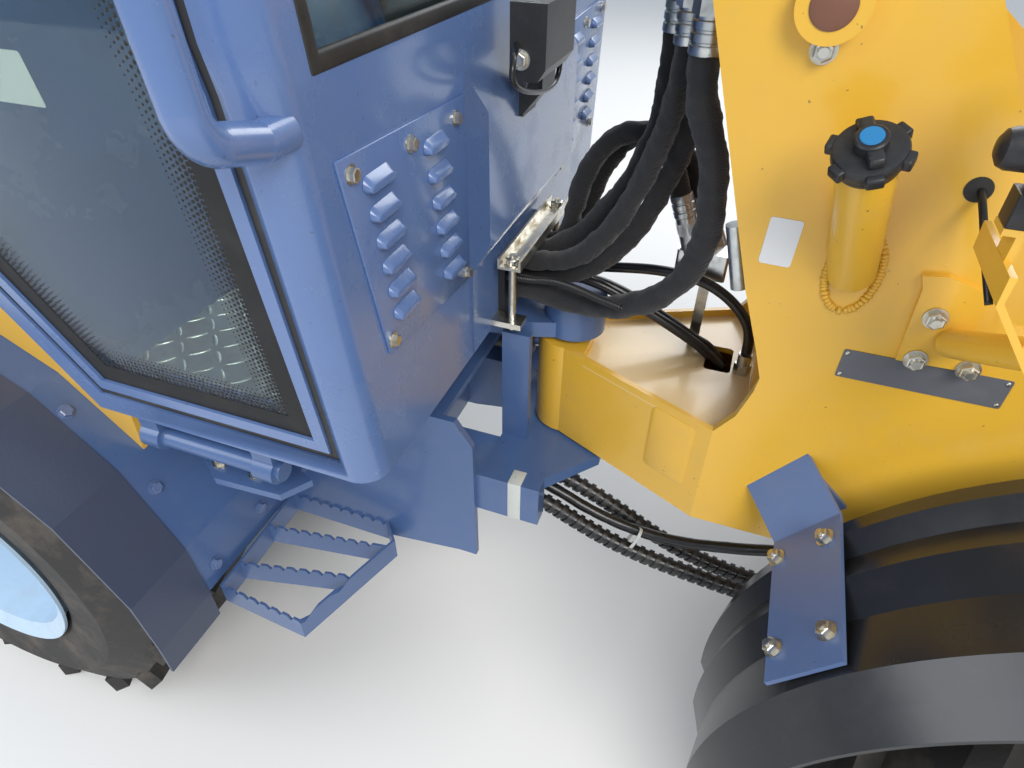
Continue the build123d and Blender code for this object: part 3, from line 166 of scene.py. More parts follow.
def set_gloss(nodes, links, principled, film, low, high):
    """Roughness that climbs from low to high where the film lies."""
    gloss = nodes.new("ShaderNodeMapRange")
    gloss.inputs["To Min"].default_value = low
    gloss.inputs["To Max"].default_value = high
    links.new(film, gloss.inputs["Value"])
    links.new(gloss.outputs["Result"], principled.inputs["Roughness"])


def paint(name, colour, rough=0.3, coat=0.4, dust=0.25, peel=0.06, chips=0.0, painted_light=None):
    """Sprayed paint: slight colour drift, a film of dust, orange peel and small chips."""
    material, nodes, links, principled = shader(name)
    drift = banded(nodes, links, object_noise(nodes, links, 3.0, 4.0), 0.3, 0.7)
    darker = tuple(channel * 0.88 for channel in colour)
    painted = mixed(nodes, links, drift, darker, colour)
    film = banded(nodes, links, object_noise(nodes, links, 11.0, 9.0, 0.68), 0.52, 0.8)
    painted = mixed(nodes, links, times(nodes, links, film, dust), painted, DUST_GREY)
    # Painted highlight: a paler colour mixed in where the mask lies, standing in for light.
    if painted_light:
        painted = mixed(nodes, links, painted_light(nodes, links), painted, PAN_PAINTED_HIGHLIGHT)
    if chips:
        chipped = banded(nodes, links, object_noise(nodes, links, 160.0, 2.0), 0.735, 0.745)
        painted = mixed(nodes, links, times(nodes, links, chipped, chips), painted, BARE_CHIP)
    links.new(painted, principled.inputs["Base Color"])
    set_gloss(nodes, links, principled, film, rough, min(1.0, rough + 0.3))
    principled.inputs["Coat Weight"].default_value = coat
    principled.inputs["Coat Roughness"].default_value = 0.12
    links.new(raised(nodes, links, object_noise(nodes, links, 320.0, 1.0), peel, 0.001),
              principled.inputs["Normal"])
    return material


def rubbery(name, colour, rough=0.55, grain=220.0, depth=0.25, dust=0.3, tint=(0.2, 0.18, 0.15)):
    """Rubber and moulded plastic: a fine grain and dust that lies in patches."""
    material, nodes, links, principled = shader(name)
    film = banded(nodes, links, object_noise(nodes, links, 14.0, 8.0, 0.66), 0.5, 0.82)
    links.new(mixed(nodes, links, times(nodes, links, film, dust), colour, tint),
              principled.inputs["Base Color"])
    principled.inputs["Roughness"].default_value = rough
    links.new(raised(nodes, links, object_noise(nodes, links, grain, 3.0), depth, 0.001),
              principled.inputs["Normal"])
    return material


def metal(name, colour, rough=0.35, blotch=(0.3, 0.26, 0.16), share=0.35, grain=300.0):
    """Plated or bare metal with uneven tarnish."""
    material, nodes, links, principled = shader(name)
    film = banded(nodes, links, object_noise(nodes, links, 70.0, 5.0), 0.45, 0.75)
    links.new(mixed(nodes, links, times(nodes, links, film, share), colour, blotch),
              principled.inputs["Base Color"])
    principled.inputs["Metallic"].default_value = 1.0
    set_gloss(nodes, links, principled, film, rough, min(1.0, rough + 0.25))
    links.new(raised(nodes, links, object_noise(nodes, links, grain, 2.0), 0.15, 0.0006),
              principled.inputs["Normal"])
    return material


def woven(name, colour):
    """Textile hose sleeve: crossing threads with long soft creases."""
    material, nodes, links, principled = shader(name)
    place = nodes.new("ShaderNodeTexCoord")
    threads = []
    for turn in (0.8, -0.8):
        mapping = nodes.new("ShaderNodeMapping")
        mapping.inputs["Rotation"].default_value = (0.3, turn, 0.5)
        wave = nodes.new("ShaderNodeTexWave")
        wave.inputs["Scale"].default_value = 190.0
        wave.inputs["Distortion"].default_value = 1.5
        links.new(place.outputs["Object"], mapping.inputs["Vector"])
        links.new(mapping.outputs["Vector"], wave.inputs["Vector"])
        threads.append(wave.outputs["Fac"])
    cloth = times(nodes, links, *threads)
    creases = object_noise(nodes, links, 60.0, 4.0, 0.6)
    lighter = tuple(channel * 2.4 for channel in colour)
    links.new(mixed(nodes, links, cloth, colour, lighter), principled.inputs["Base Color"])
    principled.inputs["Roughness"].default_value = 0.78
    principled.inputs["Sheen Weight"].default_value = 0.25
    both = nodes.new("ShaderNodeMath")
    both.operation = "MULTIPLY_ADD"
    both.inputs[1].default_value = 2.0
    links.new(creases, both.inputs[0])
    links.new(cloth, both.inputs[2])
    links.new(raised(nodes, links, both.outputs[0], 0.5, 0.0012), principled.inputs["Normal"])
    return material


def clear_glass(name, tint, rough=0.02):
    material, nodes, links, principled = shader(name)
    streaks = banded(nodes, links, object_noise(nodes, links, 9.0, 6.0, 0.6, (1.0, 1.0, 0.35)), 0.5, 0.85)
    links.new(mixed(nodes, links, streaks, tint, tuple(channel * 0.8 for channel in tint)),
              principled.inputs["Base Color"])
    principled.inputs["Transmission Weight"].default_value = 1.0
    principled.inputs["IOR"].default_value = 1.3
    set_gloss(nodes, links, principled, streaks, rough, rough + 0.05)
    return material


# middle and reach of the pan's floor in metres
PAN_FLOOR = (("Z", 0.6882, 0.0007), ("Y", 0.0, 0.1395), ("X", -0.1475, 0.109))


def painted_highlight_on_pan_floor(nodes, links):
    """One where the floor of the neck's sunk pan lies, for a painted highlight: a paler colour standing in for
    the light that falls on it.
    """
    place = nodes.new("ShaderNodeTexCoord")
    parts = nodes.new("ShaderNodeSeparateXYZ")
    links.new(place.outputs["Object"], parts.inputs["Vector"])
    tests = []
    for axis, middle, reach in PAN_FLOOR:
        near = nodes.new("ShaderNodeMath")
        near.operation = "COMPARE"
        near.inputs[1].default_value = middle
        near.inputs[2].default_value = reach
        links.new(parts.outputs[axis], near.inputs[0])
        tests.append(near.outputs[0])
    both = tests[0]
    for test in tests[1:]:
        both = times(nodes, links, both, test)
    return both


SLATE = (0.108, 0.185, 0.395)
FRAME_SLATE = (0.070, 0.132, 0.295)
SLATE_DARK = (0.095, 0.122, 0.190)
WARM_YELLOW = (0.84, 0.48, 0.045)
cab_paint = paint("slate_blue_cab_paint", SLATE, 0.24, 0.5, 0.08, 0.04, 0.4)
frame_paint = paint("slate_blue_frame_paint", FRAME_SLATE, 0.34, 0.3, 0.16, 0.07, 0.7)
bracket_paint = paint("slate_bracket_paint", (0.11, 0.17, 0.335), 0.3, 0.5, 0.12, 0.05, 0.4)
bucket_paint = paint("dark_bucket_paint", SLATE_DARK, 0.4, 0.3, 0.35, 0.08, 0.8)
yellow_paint = paint("warm_yellow_paint", WARM_YELLOW, 0.3, 0.35, 0.12, 0.08, 0.6)
# The tower's copy of the yellow paint carries a painted highlight on the pan floor.
tower_paint = paint("warm_yellow_tower_paint", WARM_YELLOW, 0.3, 0.35, 0.12, 0.08, 0.6, painted_highlight_on_pan_floor)
black_frit = rubbery("printed_black_border", (0.004, 0.004, 0.005), 0.62, 60.0, 0.02, 0.1)
clear_lens = metal("ribbed_lens", (0.75, 0.78, 0.80), 0.2, (0.5, 0.5, 0.5), 0.2, 60.0)
reflective = paint("reflective_band", (0.62, 0.64, 0.60), 0.35, 0.3, 0.5, 0.3, 1.0)
tie_white = rubbery("pale_cable_tie", (0.55, 0.56, 0.55), 0.4, 90.0, 0.1, 0.3)
rim_paint = paint("pale_blue_rim_paint", (0.50, 0.66, 0.82), 0.35, 0.3, 0.35, 0.06, 0.3)
fender_black = rubbery("gloss_black_fender", (0.017, 0.018, 0.021), 0.26, 90.0, 0.06, 0.25, DARK_DUST)
# The strip is black plastic; its blue tint is a painted reflection of the sky.
strip_black_painted_sky_sheen = rubbery("black_strip_painted_sky_reflection", (0.052, 0.066, 0.112), 0.40, 260.0, 0.25, 0.3, DARK_DUST)
moulded_black = rubbery("moulded_black_plastic", (0.018, 0.018, 0.020), 0.42, 300.0, 0.25, 0.2)
tyre_rubber = rubbery("tyre_rubber", (0.028, 0.026, 0.025), 0.72, 140.0, 0.5, 0.75, (0.16, 0.13, 0.10))
soft_rubber = rubbery("soft_rubber", (0.014, 0.014, 0.015), 0.5, 200.0, 0.2, 0.2)
hose_rubber = rubbery("smooth_hose_rubber", (0.010, 0.010, 0.011), 0.28, 260.0, 0.08, 0.12)
sleeve_cloth = woven("black_textile_sleeve", (0.0085, 0.0085, 0.010))
zinc = metal("zinc_plate", (0.66, 0.64, 0.58), 0.3, (0.45, 0.34, 0.14), 0.6)
fitting_zinc = metal("fitting_zinc", (0.58, 0.60, 0.60), 0.28, (0.32, 0.32, 0.30), 0.5)
bare_steel = metal("bare_steel", (0.56, 0.55, 0.53), 0.32, (0.32, 0.26, 0.2), 0.4)
chrome = metal("hard_chrome", (0.78, 0.79, 0.80), 0.1, (0.6, 0.6, 0.6), 0.2)
aluminium = metal("brushed_aluminium", (0.74, 0.75, 0.76), 0.36, (0.55, 0.55, 0.54), 0.3)
cast_iron = paint("dark_casting", (0.045, 0.047, 0.052), 0.6, 0.0, 0.6, 0.4, 0.0)
seat_cover = rubbery("black_seat_cover", (0.02, 0.02, 0.022), 0.6, 180.0, 0.4, 0.15)
red_lens = rubbery("red_lens", (0.45, 0.02, 0.015), 0.15, 60.0, 0.02, 0.1)
white_label = paint("blank_white_label", (0.80, 0.81, 0.82), 0.35, 0.2, 0.1, 0.02, 0.0)
grey_plate = paint("blank_grey_plate", (0.13, 0.135, 0.15), 0.4, 0.1, 0.25, 0.03, 0.2)
blue_dot = paint("blue_cap_disc", (0.02, 0.22, 0.50), 0.4, 0.1, 0.1, 0.02, 0.0)
worn_brown = paint("worn_pin_end", (0.20, 0.085, 0.05), 0.5, 0.0, 0.3, 0.2, 0.0)
window_glass = clear_glass("safety_glass", (0.80, 0.90, 0.86))
shield_glass = clear_glass("windscreen_glass", (0.66, 0.76, 0.74))

NODES_BY_FINISH = (
    (frame_paint, "rear_frame rear_mudguards steps counterweight sill_tubes"),
    (cab_paint, "cab_frame door_right door_left grab_handles louvre_panels roof_cap"),
    (bracket_paint, "fender_brackets"),
    (bucket_paint, "carrier bucket"),
    (tower_paint, "front_frame"),
    (yellow_paint, "body_sides engine_hood boom lift_barrel tilt_barrel lamp_brackets"),
    (rim_paint, "rim_front_right rim_front_left rim_rear_right rim_rear_left"),
    (tyre_rubber, "tyre_front_right tyre_front_left tyre_rear_right tyre_rear_left"),
    (strip_black_painted_sky_sheen, "fender_strips"),
    (fender_black, "front_fenders"),
    (moulded_black, "console steering_wheel filler_cap work_lamp steer_barrel head_lamps"),
    (soft_rubber, "cab_mounts hose_flap"),
    (sleeve_cloth, "sleeved_hoses"),
    (hose_rubber, "plain_hoses lower_hoses"),
    (seat_cover, "seat"),
    (cast_iron, "rear_axle front_axle engine"),
    (zinc, "hose_clamp"),
    (fitting_zinc, "hose_fittings"),
    (chrome, "lift_rod tilt_rod steer_rod"),
    (red_lens, "tail_lamps"),
    (shield_glass, "cab_glass"),
    (window_glass, "quarter_glass door_glass_right door_glass_left"),
)
for surface, node_names in NODES_BY_FINISH:
    for node_name in node_names.split():
        NODES[node_name].data.materials.clear()
        NODES[node_name].data.materials.append(surface)


# ways of making pieces

def none_selected():
    bpy.ops.object.select_all(action="DESELECT")


def only(piece):
    none_selected()
    piece.select_set(True)
    bpy.context.view_layer.objects.active = piece


def dress(piece, name, body, surface):
    """Fixes a finished piece in place, names it, gives it its finish and its body."""
    only(piece)
    bpy.ops.object.transform_apply(location=True, rotation=True, scale=True)
    piece.name = name
    piece.data.name = name
    piece.data.materials.clear()
    piece.data.materials.append(surface)
    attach(piece, body)
    return piece


def cleaned(doubles=True, outwards=True):
    """Merges the doubles of the active mesh and turns its faces outwards."""
    bpy.ops.object.mode_set(mode="EDIT")
    bpy.ops.mesh.select_all(action="SELECT")
    if doubles:
        bpy.ops.mesh.remove_doubles(threshold=MERGE)
    if outwards:
        bpy.ops.mesh.normals_make_consistent(inside=False)
    bpy.ops.object.mode_set(mode="OBJECT")


def modified(piece, kind, **settings):
    """Adds a modifier with its settings and applies it."""
    modifier = piece.modifiers.new(kind.lower(), kind)
    for setting, value in settings.items():
        setattr(modifier, setting, value)
    bpy.ops.object.modifier_apply(modifier=modifier.name)


def top_faces_picked(piece):
    bpy.ops.object.mode_set(mode="EDIT")
    bpy.ops.mesh.select_all(action="DESELECT")
    mesh = bmesh.from_edit_mesh(piece.data)
    for face in mesh.faces:
        if face.normal.z > 0.9:
            face.select_set(True)
    bmesh.update_edit_mesh(piece.data)


def block(size, middle=(0, 0, 0)):
    """A cube drawn out to a block of that size, in metres, about its middle."""
    none_selected()
    bpy.ops.mesh.primitive_cube_add(size=1)
    piece = bpy.context.object
    piece.scale = size
    piece.location = middle
    bpy.ops.object.transform_apply(location=True, scale=True)
    return piece


def copied(pattern, name, place):
    """A copy of a pattern, with its own mesh, set in place."""
    twin = bpy.data.objects.new(name, pattern.data.copy())
    twin.data.transform(place)
    bpy.context.scene.collection.objects.link(twin)
    return twin


def joined(pieces):
    none_selected()
    for piece in pieces:
        piece.select_set(True)
    bpy.context.view_layer.objects.active = pieces[0]
    if len(pieces) > 1:
        bpy.ops.object.join()
    return pieces[0]


def turned_to(point, normal, along=(0, 0, 1)):
    """The matrix that stands a pattern on a point with its own Z along the normal."""
    rise = Vector(normal).normalized()
    side = Vector(along).cross(rise)
    if side.length < 0.01:
        side = Vector((1, 0, 0)).cross(rise)
    side.normalize()
    turn = Matrix((side, rise.cross(side), rise)).transposed().to_4x4()
    return Matrix.Translation(point) @ turn


def repeated(pattern, places, name, body, surface):
    """One modelled pattern copied to each place, each copy with its own mesh, joined into a piece."""
    twins = [copied(pattern, name, place) for place in places]
    return dress(joined(twins), name, body, surface)


def scrapped(pattern):
    bpy.data.objects.remove(pattern, do_unlink=True)


def edge_softened(piece, width, segments=2, angle=30.0):
    only(piece)
    modified(piece, "BEVEL", width=width, segments=segments, limit_method="ANGLE", angle_limit=radians(angle))
    bpy.ops.object.shade_smooth_by_angle(angle=radians(35))
    return piece


def hex_bolt_pattern(name, head, height, washer=0.0, flange=0.0, stud=0.0):
    """Hexagon bolt head across its corners, with a chamfer, a round washer and a stud end."""
    none_selected()
    bpy.ops.mesh.primitive_cylinder_add(
        vertices=6, radius=head / 1000, depth=height / 1000,
        location=(0, 0, (height / 2 + washer) / 1000))
    piece = bpy.context.object
    bpy.ops.object.transform_apply(location=True)
    top_faces_picked(piece)
    bpy.ops.mesh.inset(thickness=head * 0.14 / 1000)
    bpy.ops.transform.translate(value=(0, 0, height * 0.12 / 1000))
    bpy.ops.mesh.inset(thickness=head * 0.25 / 1000)
    bpy.ops.transform.translate(value=(0, 0, -height * 0.06 / 1000))
    bpy.ops.mesh.select_all(action="DESELECT")
    if washer:
        bpy.ops.mesh.primitive_cylinder_add(
            vertices=20, radius=(flange or head * 1.35) / 1000, depth=washer / 1000,
            location=(0, 0, washer / 2000))
        bpy.ops.mesh.select_all(action="DESELECT")
    if stud:
        bpy.ops.mesh.primitive_cylinder_add(
            vertices=12, radius=head * 0.48 / 1000, depth=stud / 1000,
            location=(0, 0, (height + washer + stud / 2) / 1000))
    bpy.ops.object.mode_set(mode="OBJECT")
    piece.name = name
    return piece


def outline_plate(name, outline, thickness, place, edge=0.0):
    """A flat plate: a filled ring shaped to the outline (mm in its own plane), extruded and softened."""
    none_selected()
    bpy.ops.mesh.primitive_circle_add(vertices=len(outline), radius=0.01, fill_type="NGON")
    piece = bpy.context.object
    for vertex, (across, up) in zip(piece.data.vertices, outline):
        vertex.co = (across / 1000, up / 1000, 0)
    bpy.ops.object.mode_set(mode="EDIT")
    bpy.ops.mesh.select_all(action="SELECT")
    bpy.ops.mesh.extrude_region_move(TRANSFORM_OT_translate={"value": (0, 0, thickness / 1000)})
    bpy.ops.object.mode_set(mode="OBJECT")
    cleaned(doubles=False)
    piece.data.transform(place)
    piece.name = name
    if edge:
        edge_softened(piece, edge / 1000)
    return piece


def rounded_outline(left, low, right, high, radius, steps=5):
    corners = ((right - radius, high - radius, 0), (left + radius, high - radius, 90),
               (left + radius, low + radius, 180), (right - radius, low + radius, 270))
    outline = []
    for x, y, start in corners:
        for step in range(steps + 1):
            turn = radians(start + 90 * step / steps)
            outline.append((x + radius * cos(turn), y + radius * sin(turn)))
    return outline


def wall_plane(x, y, z, normal, along=(0, 0, 1)):
    return turned_to(at(x, y, z), normal, along)


def spun(name, profile, place, steps=32):
    """A turned piece: the profile (radius, height in mm) spun about its own Z and set in place."""
    none_selected()
    bpy.ops.mesh.primitive_circle_add(vertices=len(profile), radius=0.01, fill_type="NOTHING")
    piece = bpy.context.object
    for vertex, (radius, height) in zip(piece.data.vertices, profile):
        vertex.co = (radius / 1000, 0, height / 1000)
    bpy.ops.object.mode_set(mode="EDIT")
    bpy.ops.mesh.select_all(action="SELECT")
    bpy.ops.mesh.spin(steps=steps, angle=2 * pi, center=(0, 0, 0), axis=(0, 0, 1))
    bpy.ops.object.mode_set(mode="OBJECT")
    cleaned()
    piece.data.transform(place)
    piece.name = name
    only(piece)
    bpy.ops.object.shade_smooth_by_angle(angle=radians(35))
    return piece


def route_of(name, route):
    """The line of a hose: a smooth NURBS through the run of its control points."""
    curve = bpy.data.curves.new(name, "CURVE")
    curve.dimensions = "3D"
    spline = curve.splines.new("NURBS")
    spline.points.add(len(route) - 1)
    for point, place in zip(spline.points, route):
        point.co = (*at(*place), 1.0)
    spline.order_u = 3
    spline.use_endpoint_u = True
    spline.resolution_u = 10
    line = bpy.data.objects.new(name, curve)
    bpy.context.scene.collection.objects.link(line)
    return line


def points_along(line):
    bpy.context.view_layer.update()
    mesh = bpy.data.meshes.new_from_object(line)
    points = [vertex.co.copy() for vertex in mesh.vertices]
    bpy.data.meshes.remove(mesh)
    return points


def hose_tube(name, route, radius, creased=0.0):
    line = route_of(name, route)
    line.data.bevel_depth = radius / 1000
    line.data.bevel_resolution = 8
    line.data.use_fill_caps = True
    only(line)
    bpy.ops.object.convert(target="MESH")
    tube = bpy.context.object
    cleaned(outwards=False)
    if creased:
        for size, share in ((0.022, 1.0), (0.009, 0.45)):
            folds = bpy.data.textures.new(name + "_folds", "CLOUDS")
            folds.noise_scale = size
            modified(tube, "DISPLACE", texture=folds, texture_coords="LOCAL",
                     strength=creased * share / 1000, mid_level=0.55)
    bpy.ops.object.shade_smooth()
    return tube


def over_the_joint(tube, name, surface, slot_name, *nodes):
    """A hose over the joint: named, given its finish and its baked transform, with the nodes it replaces
    hidden.
    """
    only(tube)
    tube.name = name
    tube.data.name = name
    tube.data.materials.clear()
    tube.data.materials.append(surface)
    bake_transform(tube)
    for node in nodes:
        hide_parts(node)
    return tube


# hoses over the articulation

SLEEVED = {
    "near": (16, ((-78, -50, 786), (-48, -50, 786), (12, -60, 782), (62, -73, 793), (104, -85, 816),
                  (140, -94, 852), (158, -102, 898), (162, -108, 946), (155, -112, 996), (141, -112, 1036),
                  (127, -110, 1066), (127, -110, 1100))),
    "middle_low": (14, ((-78, -16, 786), (-48, -16, 786), (10, -22, 806), (52, -27, 844), (80, -30, 892),
                        (100, -32, 940), (114, -34, 988), (119, -38, 1028), (116, -40, 1066),
                        (116, -40, 1100))),
    "middle_high": (14, ((-78, -34, 818), (-48, -34, 818), (-6, -42, 830), (34, -48, 864), (62, -50, 910),
                         (79, -54, 958), (94, -60, 1004), (103, -69, 1040), (106, -75, 1070),
                         (106, -75, 1100))),
    "tall": (14, ((-78, 0, 816), (-52, 0, 816), (-6, -2, 846), (30, -6, 892), (58, -10, 934), (76, -14, 980),
                  (84, -18, 1026), (86, -20, 1064), (86, -20, 1100))),
    "near_arch": (14, ((-78, 30, 800), (-60, 30, 800), (-40, 30, 809), (-26, 30, 828), (-18, 31, 884),
                       (-5, 32, 930), (20, 32, 966), (54, 34, 982), (84, 34, 968), (103, 34, 940),
                       (115, 33, 908))),
    "far_arch": (14, ((-78, 62, 800), (-60, 62, 800), (-39, 62, 809), (-22, 63, 830), (-6, 64, 880),
                      (8, 64, 922), (32, 66, 958), (66, 66, 970), (98, 66, 958), (122, 65, 932),
                      (138, 64, 900))),
}
PLAIN = {
    "elbow_loop": (7, ((-78, 46, 776), (-48, 46, 776), (9, 32, 788), (50, 22, 800), (104, 13, 812),
                       (156, 8, 812), (194, 5, 798), (224, 3, 772), (238, 0, 746), (238, 0, 718))),
    "pan_first": (7, ((-78, 6, 772), (-48, 6, 772), (-7, 8, 784), (36, 9, 775), (87, 10, 753), (145, 12, 725),
                      (190, 14, 698), (214, 15, 676))),
    "pan_second": (7, ((-78, 26, 768), (-48, 26, 768), (12, 28, 774), (62, 30, 760), (118, 32, 732),
                       (164, 33, 706), (194, 34, 694), (212, 34, 670))),
}
CONDUIT = ((-78, -66, 806), (-48, -66, 806), (-14, -72, 816), (19, -80, 816), (50, -92, 814), (80, -104, 816))

sleeves = joined([hose_tube("sleeve_" + name, route, radius - 0.9, 6.5)
                  for name, (radius, route) in SLEEVED.items()])
over_the_joint(sleeves, "hose_sleeves", sleeve_cloth, "rubber", "sleeved_hoses")
smooth = joined([hose_tube("hose_" + name, route, radius) for name, (radius, route) in PLAIN.items()])
over_the_joint(smooth, "smooth_hoses", hose_rubber, "rubber", "plain_hoses")


def ribbed_conduit(name, route, radius, pitch):
    """Corrugated conduit: one ring copied along the route."""
    line = route_of(name, route)
    points = points_along(line)
    scrapped(line)
    none_selected()
    bpy.ops.mesh.primitive_torus_add(
        major_segments=14, minor_segments=6,
        major_radius=radius * 0.86 / 1000, minor_radius=pitch * 0.45 / 1000)
    ring = bpy.context.object
    rings = []
    walked = 0.0
    for start, end in zip(points, points[1:]):
        run = (end - start).length * 1000
        while walked < run:
            rings.append(copied(ring, name, turned_to(start.lerp(end, walked / run), end - start)))
            walked += pitch
        walked -= run
    scrapped(ring)
    return joined(rings)


conduit = ribbed_conduit("ribbed_conduit", CONDUIT, 4.6, 2.6)
over_the_joint(conduit, "ribbed_conduit", moulded_black, "rubber")

# Crimped ferrules, hexagons and swivel nuts of the hose ends
FERRULE = [(9.0, 0), (12.6, 0), (13.4, 1.2), (13.4, 8), (12.2, 9.2), (12.2, 10.6), (13.4, 11.8), (13.4, 18),
           (12.2, 19.2), (12.2, 20.6), (13.4, 21.8), (13.4, 28), (12.2, 29.5), (10.0, 30.5), (8.0, 31)]
ferrule = spun("ferrule_pattern", FERRULE, Matrix.Identity(4), 28)
swivel = hex_bolt_pattern("swivel_pattern", 14.5, 16)
ferrule_places = []
swivel_places = []
for name, (radius, route) in SLEEVED.items():
    before, last = Vector(at(*route[-2])), Vector(at(*route[-1]))
    run = (last - before).normalized()
    swell = radius / 13.2
    ferrule_places.append(turned_to(last - run * 0.002, run) @ Matrix.Diagonal((swell, swell, 1, 1)))
    swivel_places.append(turned_to(last + run * 0.034, run))
crimps = repeated(ferrule, ferrule_places, "hose_ferrules", "front", fitting_zinc)
nuts = repeated(swivel, swivel_places, "swivel_nuts", "front", fitting_zinc)
scrapped(ferrule)
scrapped(swivel)

# fasteners

plated = hex_bolt_pattern("plated_bolt", 6.0, 4.4, 1.2, 7.6)
flanged = hex_bolt_pattern("flanged_bolt", 8.6, 6.5, 1.8, 11.0, 4.0)
painted = hex_bolt_pattern("painted_bolt", 8.0, 5.5, 1.6, 10.0)


def bolted(pattern, seats, name, body, along=UP, surface=zinc):
    """A bolt on every seat, given as its place and the way it faces."""
    repeated(pattern, [wall_plane(*place, normal, along) for place, normal in seats],
             name, body, surface)


LOUVRE_BOLTS = [(376, 1052), (282, 1045), (189, 1040), (176, 868), (346, 885)]
bolted(plated, [((-87, side * y, z), AHEAD) for side in BOTH_SIDES for y, z in LOUVRE_BOLTS],
       "louvre_bolts", "rear")
GUARD_BOLTS = (((-561, 381, 677.5), (0.74, 0, 0.67)), ((-476, 371, 559.5), (0.92, 0, 0.39)),
               ((-431, 365, 406), (0.99, 0, 0.1)), ((-432, 255, 412), (0.99, 0, 0.1)))
bolted(painted, [((x, side * y, z), normal) for side in BOTH_SIDES for (x, y, z), normal in GUARD_BOLTS],
       "mudguard_bolts", "rear", surface=bracket_paint)
# the fender brackets stand square to a line that rises backwards from the axle
FENDER_SLANT, FENDER_REACH = radians(35), 485.5
slant = (-cos(FENDER_SLANT), 0, sin(FENDER_SLANT))
BRACKET_BOLTS = ((230, -3), (230, -68), (350, -1), (350, -65))
bolted(flanged, [((FRONT_AXLE_X + FENDER_REACH * slant[0] + run * sin(FENDER_SLANT), side * across,
                   AXLE_Z + FENDER_REACH * slant[2] + run * cos(FENDER_SLANT)), slant)
                 for side in BOTH_SIDES for across, run in BRACKET_BOLTS],
       "fender_bracket_bolts", "front", (0, 1, 0))
bolted(flanged, [((-62, side * 92, 841), UP) for side in BOTH_SIDES], "clamp_bolts", "rear", (0, 1, 0))
pin_end = spun("pin_end_pattern", [(0, -2), (17.5, -2), (17.5, 0.6), (15.5, 1.6), (0, 1.6)],
               Matrix.Identity(4), 36)
bolted(pin_end, [((220, side * 165.2, 1150), (0, side, 0)) for side in BOTH_SIDES],
       "pin_ends", "front", surface=worn_brown)
bolted(flanged, [((222, side * 150, 1117), (0, side, 0)) for side in BOTH_SIDES], "pin_keeper_bolts", "front")
bolted(flanged, [((x, side * 156, z), (0, side, 0)) for side in BOTH_SIDES
                 for x, z in ((381, 903), (381, 855), (427, 855))], "lamp_bracket_bolts", "front")
bolted(flanged, [((x, side * 357, 640), UP) for side in BOTH_SIDES for x in (-350, -296)],
       "cab_mount_bolts", "rear", (0, 1, 0))
# six bolts on each hub, a little proud of the wheel's middle plane
HUB_CIRCLE, HUB_FACE_Y = 70, 354 + 20.3
for end, axle_x in (("front", FRONT_AXLE_X), ("rear", REAR_AXLE_X)):
    for hand, side in (("right", -1), ("left", 1)):
        corner = end + "_" + hand
        bolted(flanged, [((axle_x + HUB_CIRCLE * cos(radians(turn)), side * HUB_FACE_Y,
                           AXLE_Z + HUB_CIRCLE * sin(radians(turn))), (0, side, 0))
                         for turn in range(0, 360, 60)],
               "wheel_bolts_" + corner, "wheel_" + corner)
for pattern in (pin_end, plated, flanged, painted):
    scrapped(pattern)

# front frame trim

# filler cap with its lugs, grip bar and disc
cap_run = Vector((-30, -80, 130)).normalized()
cap_foot = at(300, -146, 930) + cap_run * 0.150
cap_place = turned_to(cap_foot, cap_run, AHEAD) @ Matrix.Diagonal((0.86, 0.86, 0.92, 1))
CAP = [(0, 0), (26, 0), (27, 2), (27, 9), (30, 10), (31, 12), (31, 19), (29.5, 21.5), (25, 22.5), (12, 23),
       (0, 23)]
cap_body = spun("cap_body", CAP, cap_place, 40)
lug = edge_softened(block((0.0095, 0.015, 0.011), (0.0315, 0, 0.0148)), 0.0022, 3)
cap_lugs = [copied(lug, "cap_lug", cap_place @ Matrix.Rotation(radians(60 * turn + 14), 4, "Z"))
            for turn in range(6)]
scrapped(lug)
grip = edge_softened(block((0.052, 0.0135, 0.010), (0, 0, 0.0265)), 0.003, 3)
grip.data.transform(cap_place @ Matrix.Rotation(radians(18), 4, "Z"))
dished = spun("cap_boss", [(0, 21), (13.5, 21), (14, 23), (14, 32.4), (12.5, 33.6), (0, 33.6)], cap_place, 32)
cap_piece = dress(joined([cap_body, grip, dished] + cap_lugs), "filler_cap_knob", "front", moulded_black)
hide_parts("filler_cap")
dress(spun("cap_disc", [(0, 33.4), (9.6, 33.4), (9.9, 34.0), (9.4, 34.8), (0, 34.8)], cap_place, 28),
      "cap_disc", "front", blue_dot)


def weld_bead(name, points, size):
    """A row of overlapping weld ripples along a line of points."""
    none_selected()
    bpy.ops.mesh.primitive_uv_sphere_add(segments=10, ring_count=6, radius=size / 1000)
    drop = bpy.context.object
    only(drop)
    bpy.ops.object.shade_smooth()
    drops = []
    for index, (start, end) in enumerate(zip(points, points[1:])):
        run = (end - start).length * 1000
        count = max(1, int(run / (size * 0.75)))
        for step in range(count):
            swell = 1.0 + 0.12 * sin((index * 7 + step) * 2.3)
            drops.append(copied(drop, name, turned_to(start.lerp(end, step / count), end - start)
                                @ Matrix.Diagonal((swell, swell, 0.62, 1))))
    scrapped(drop)
    return joined(drops)


ring_side = cap_run.cross(Vector(TO_VIEWER)).normalized()
tube_ring = []
for turn in range(25):
    angle = radians(15 * turn)
    across = Vector((1, 0, 0)) * 23 * cos(angle) + Vector((0, 0, 1)) * 42 * sin(angle)
    tube_ring.append(at(301 + across.x, -150.5, 932 + across.z))
dress(weld_bead("tube_weld", tube_ring, 4.2), "filler_tube_weld", "front", yellow_paint)

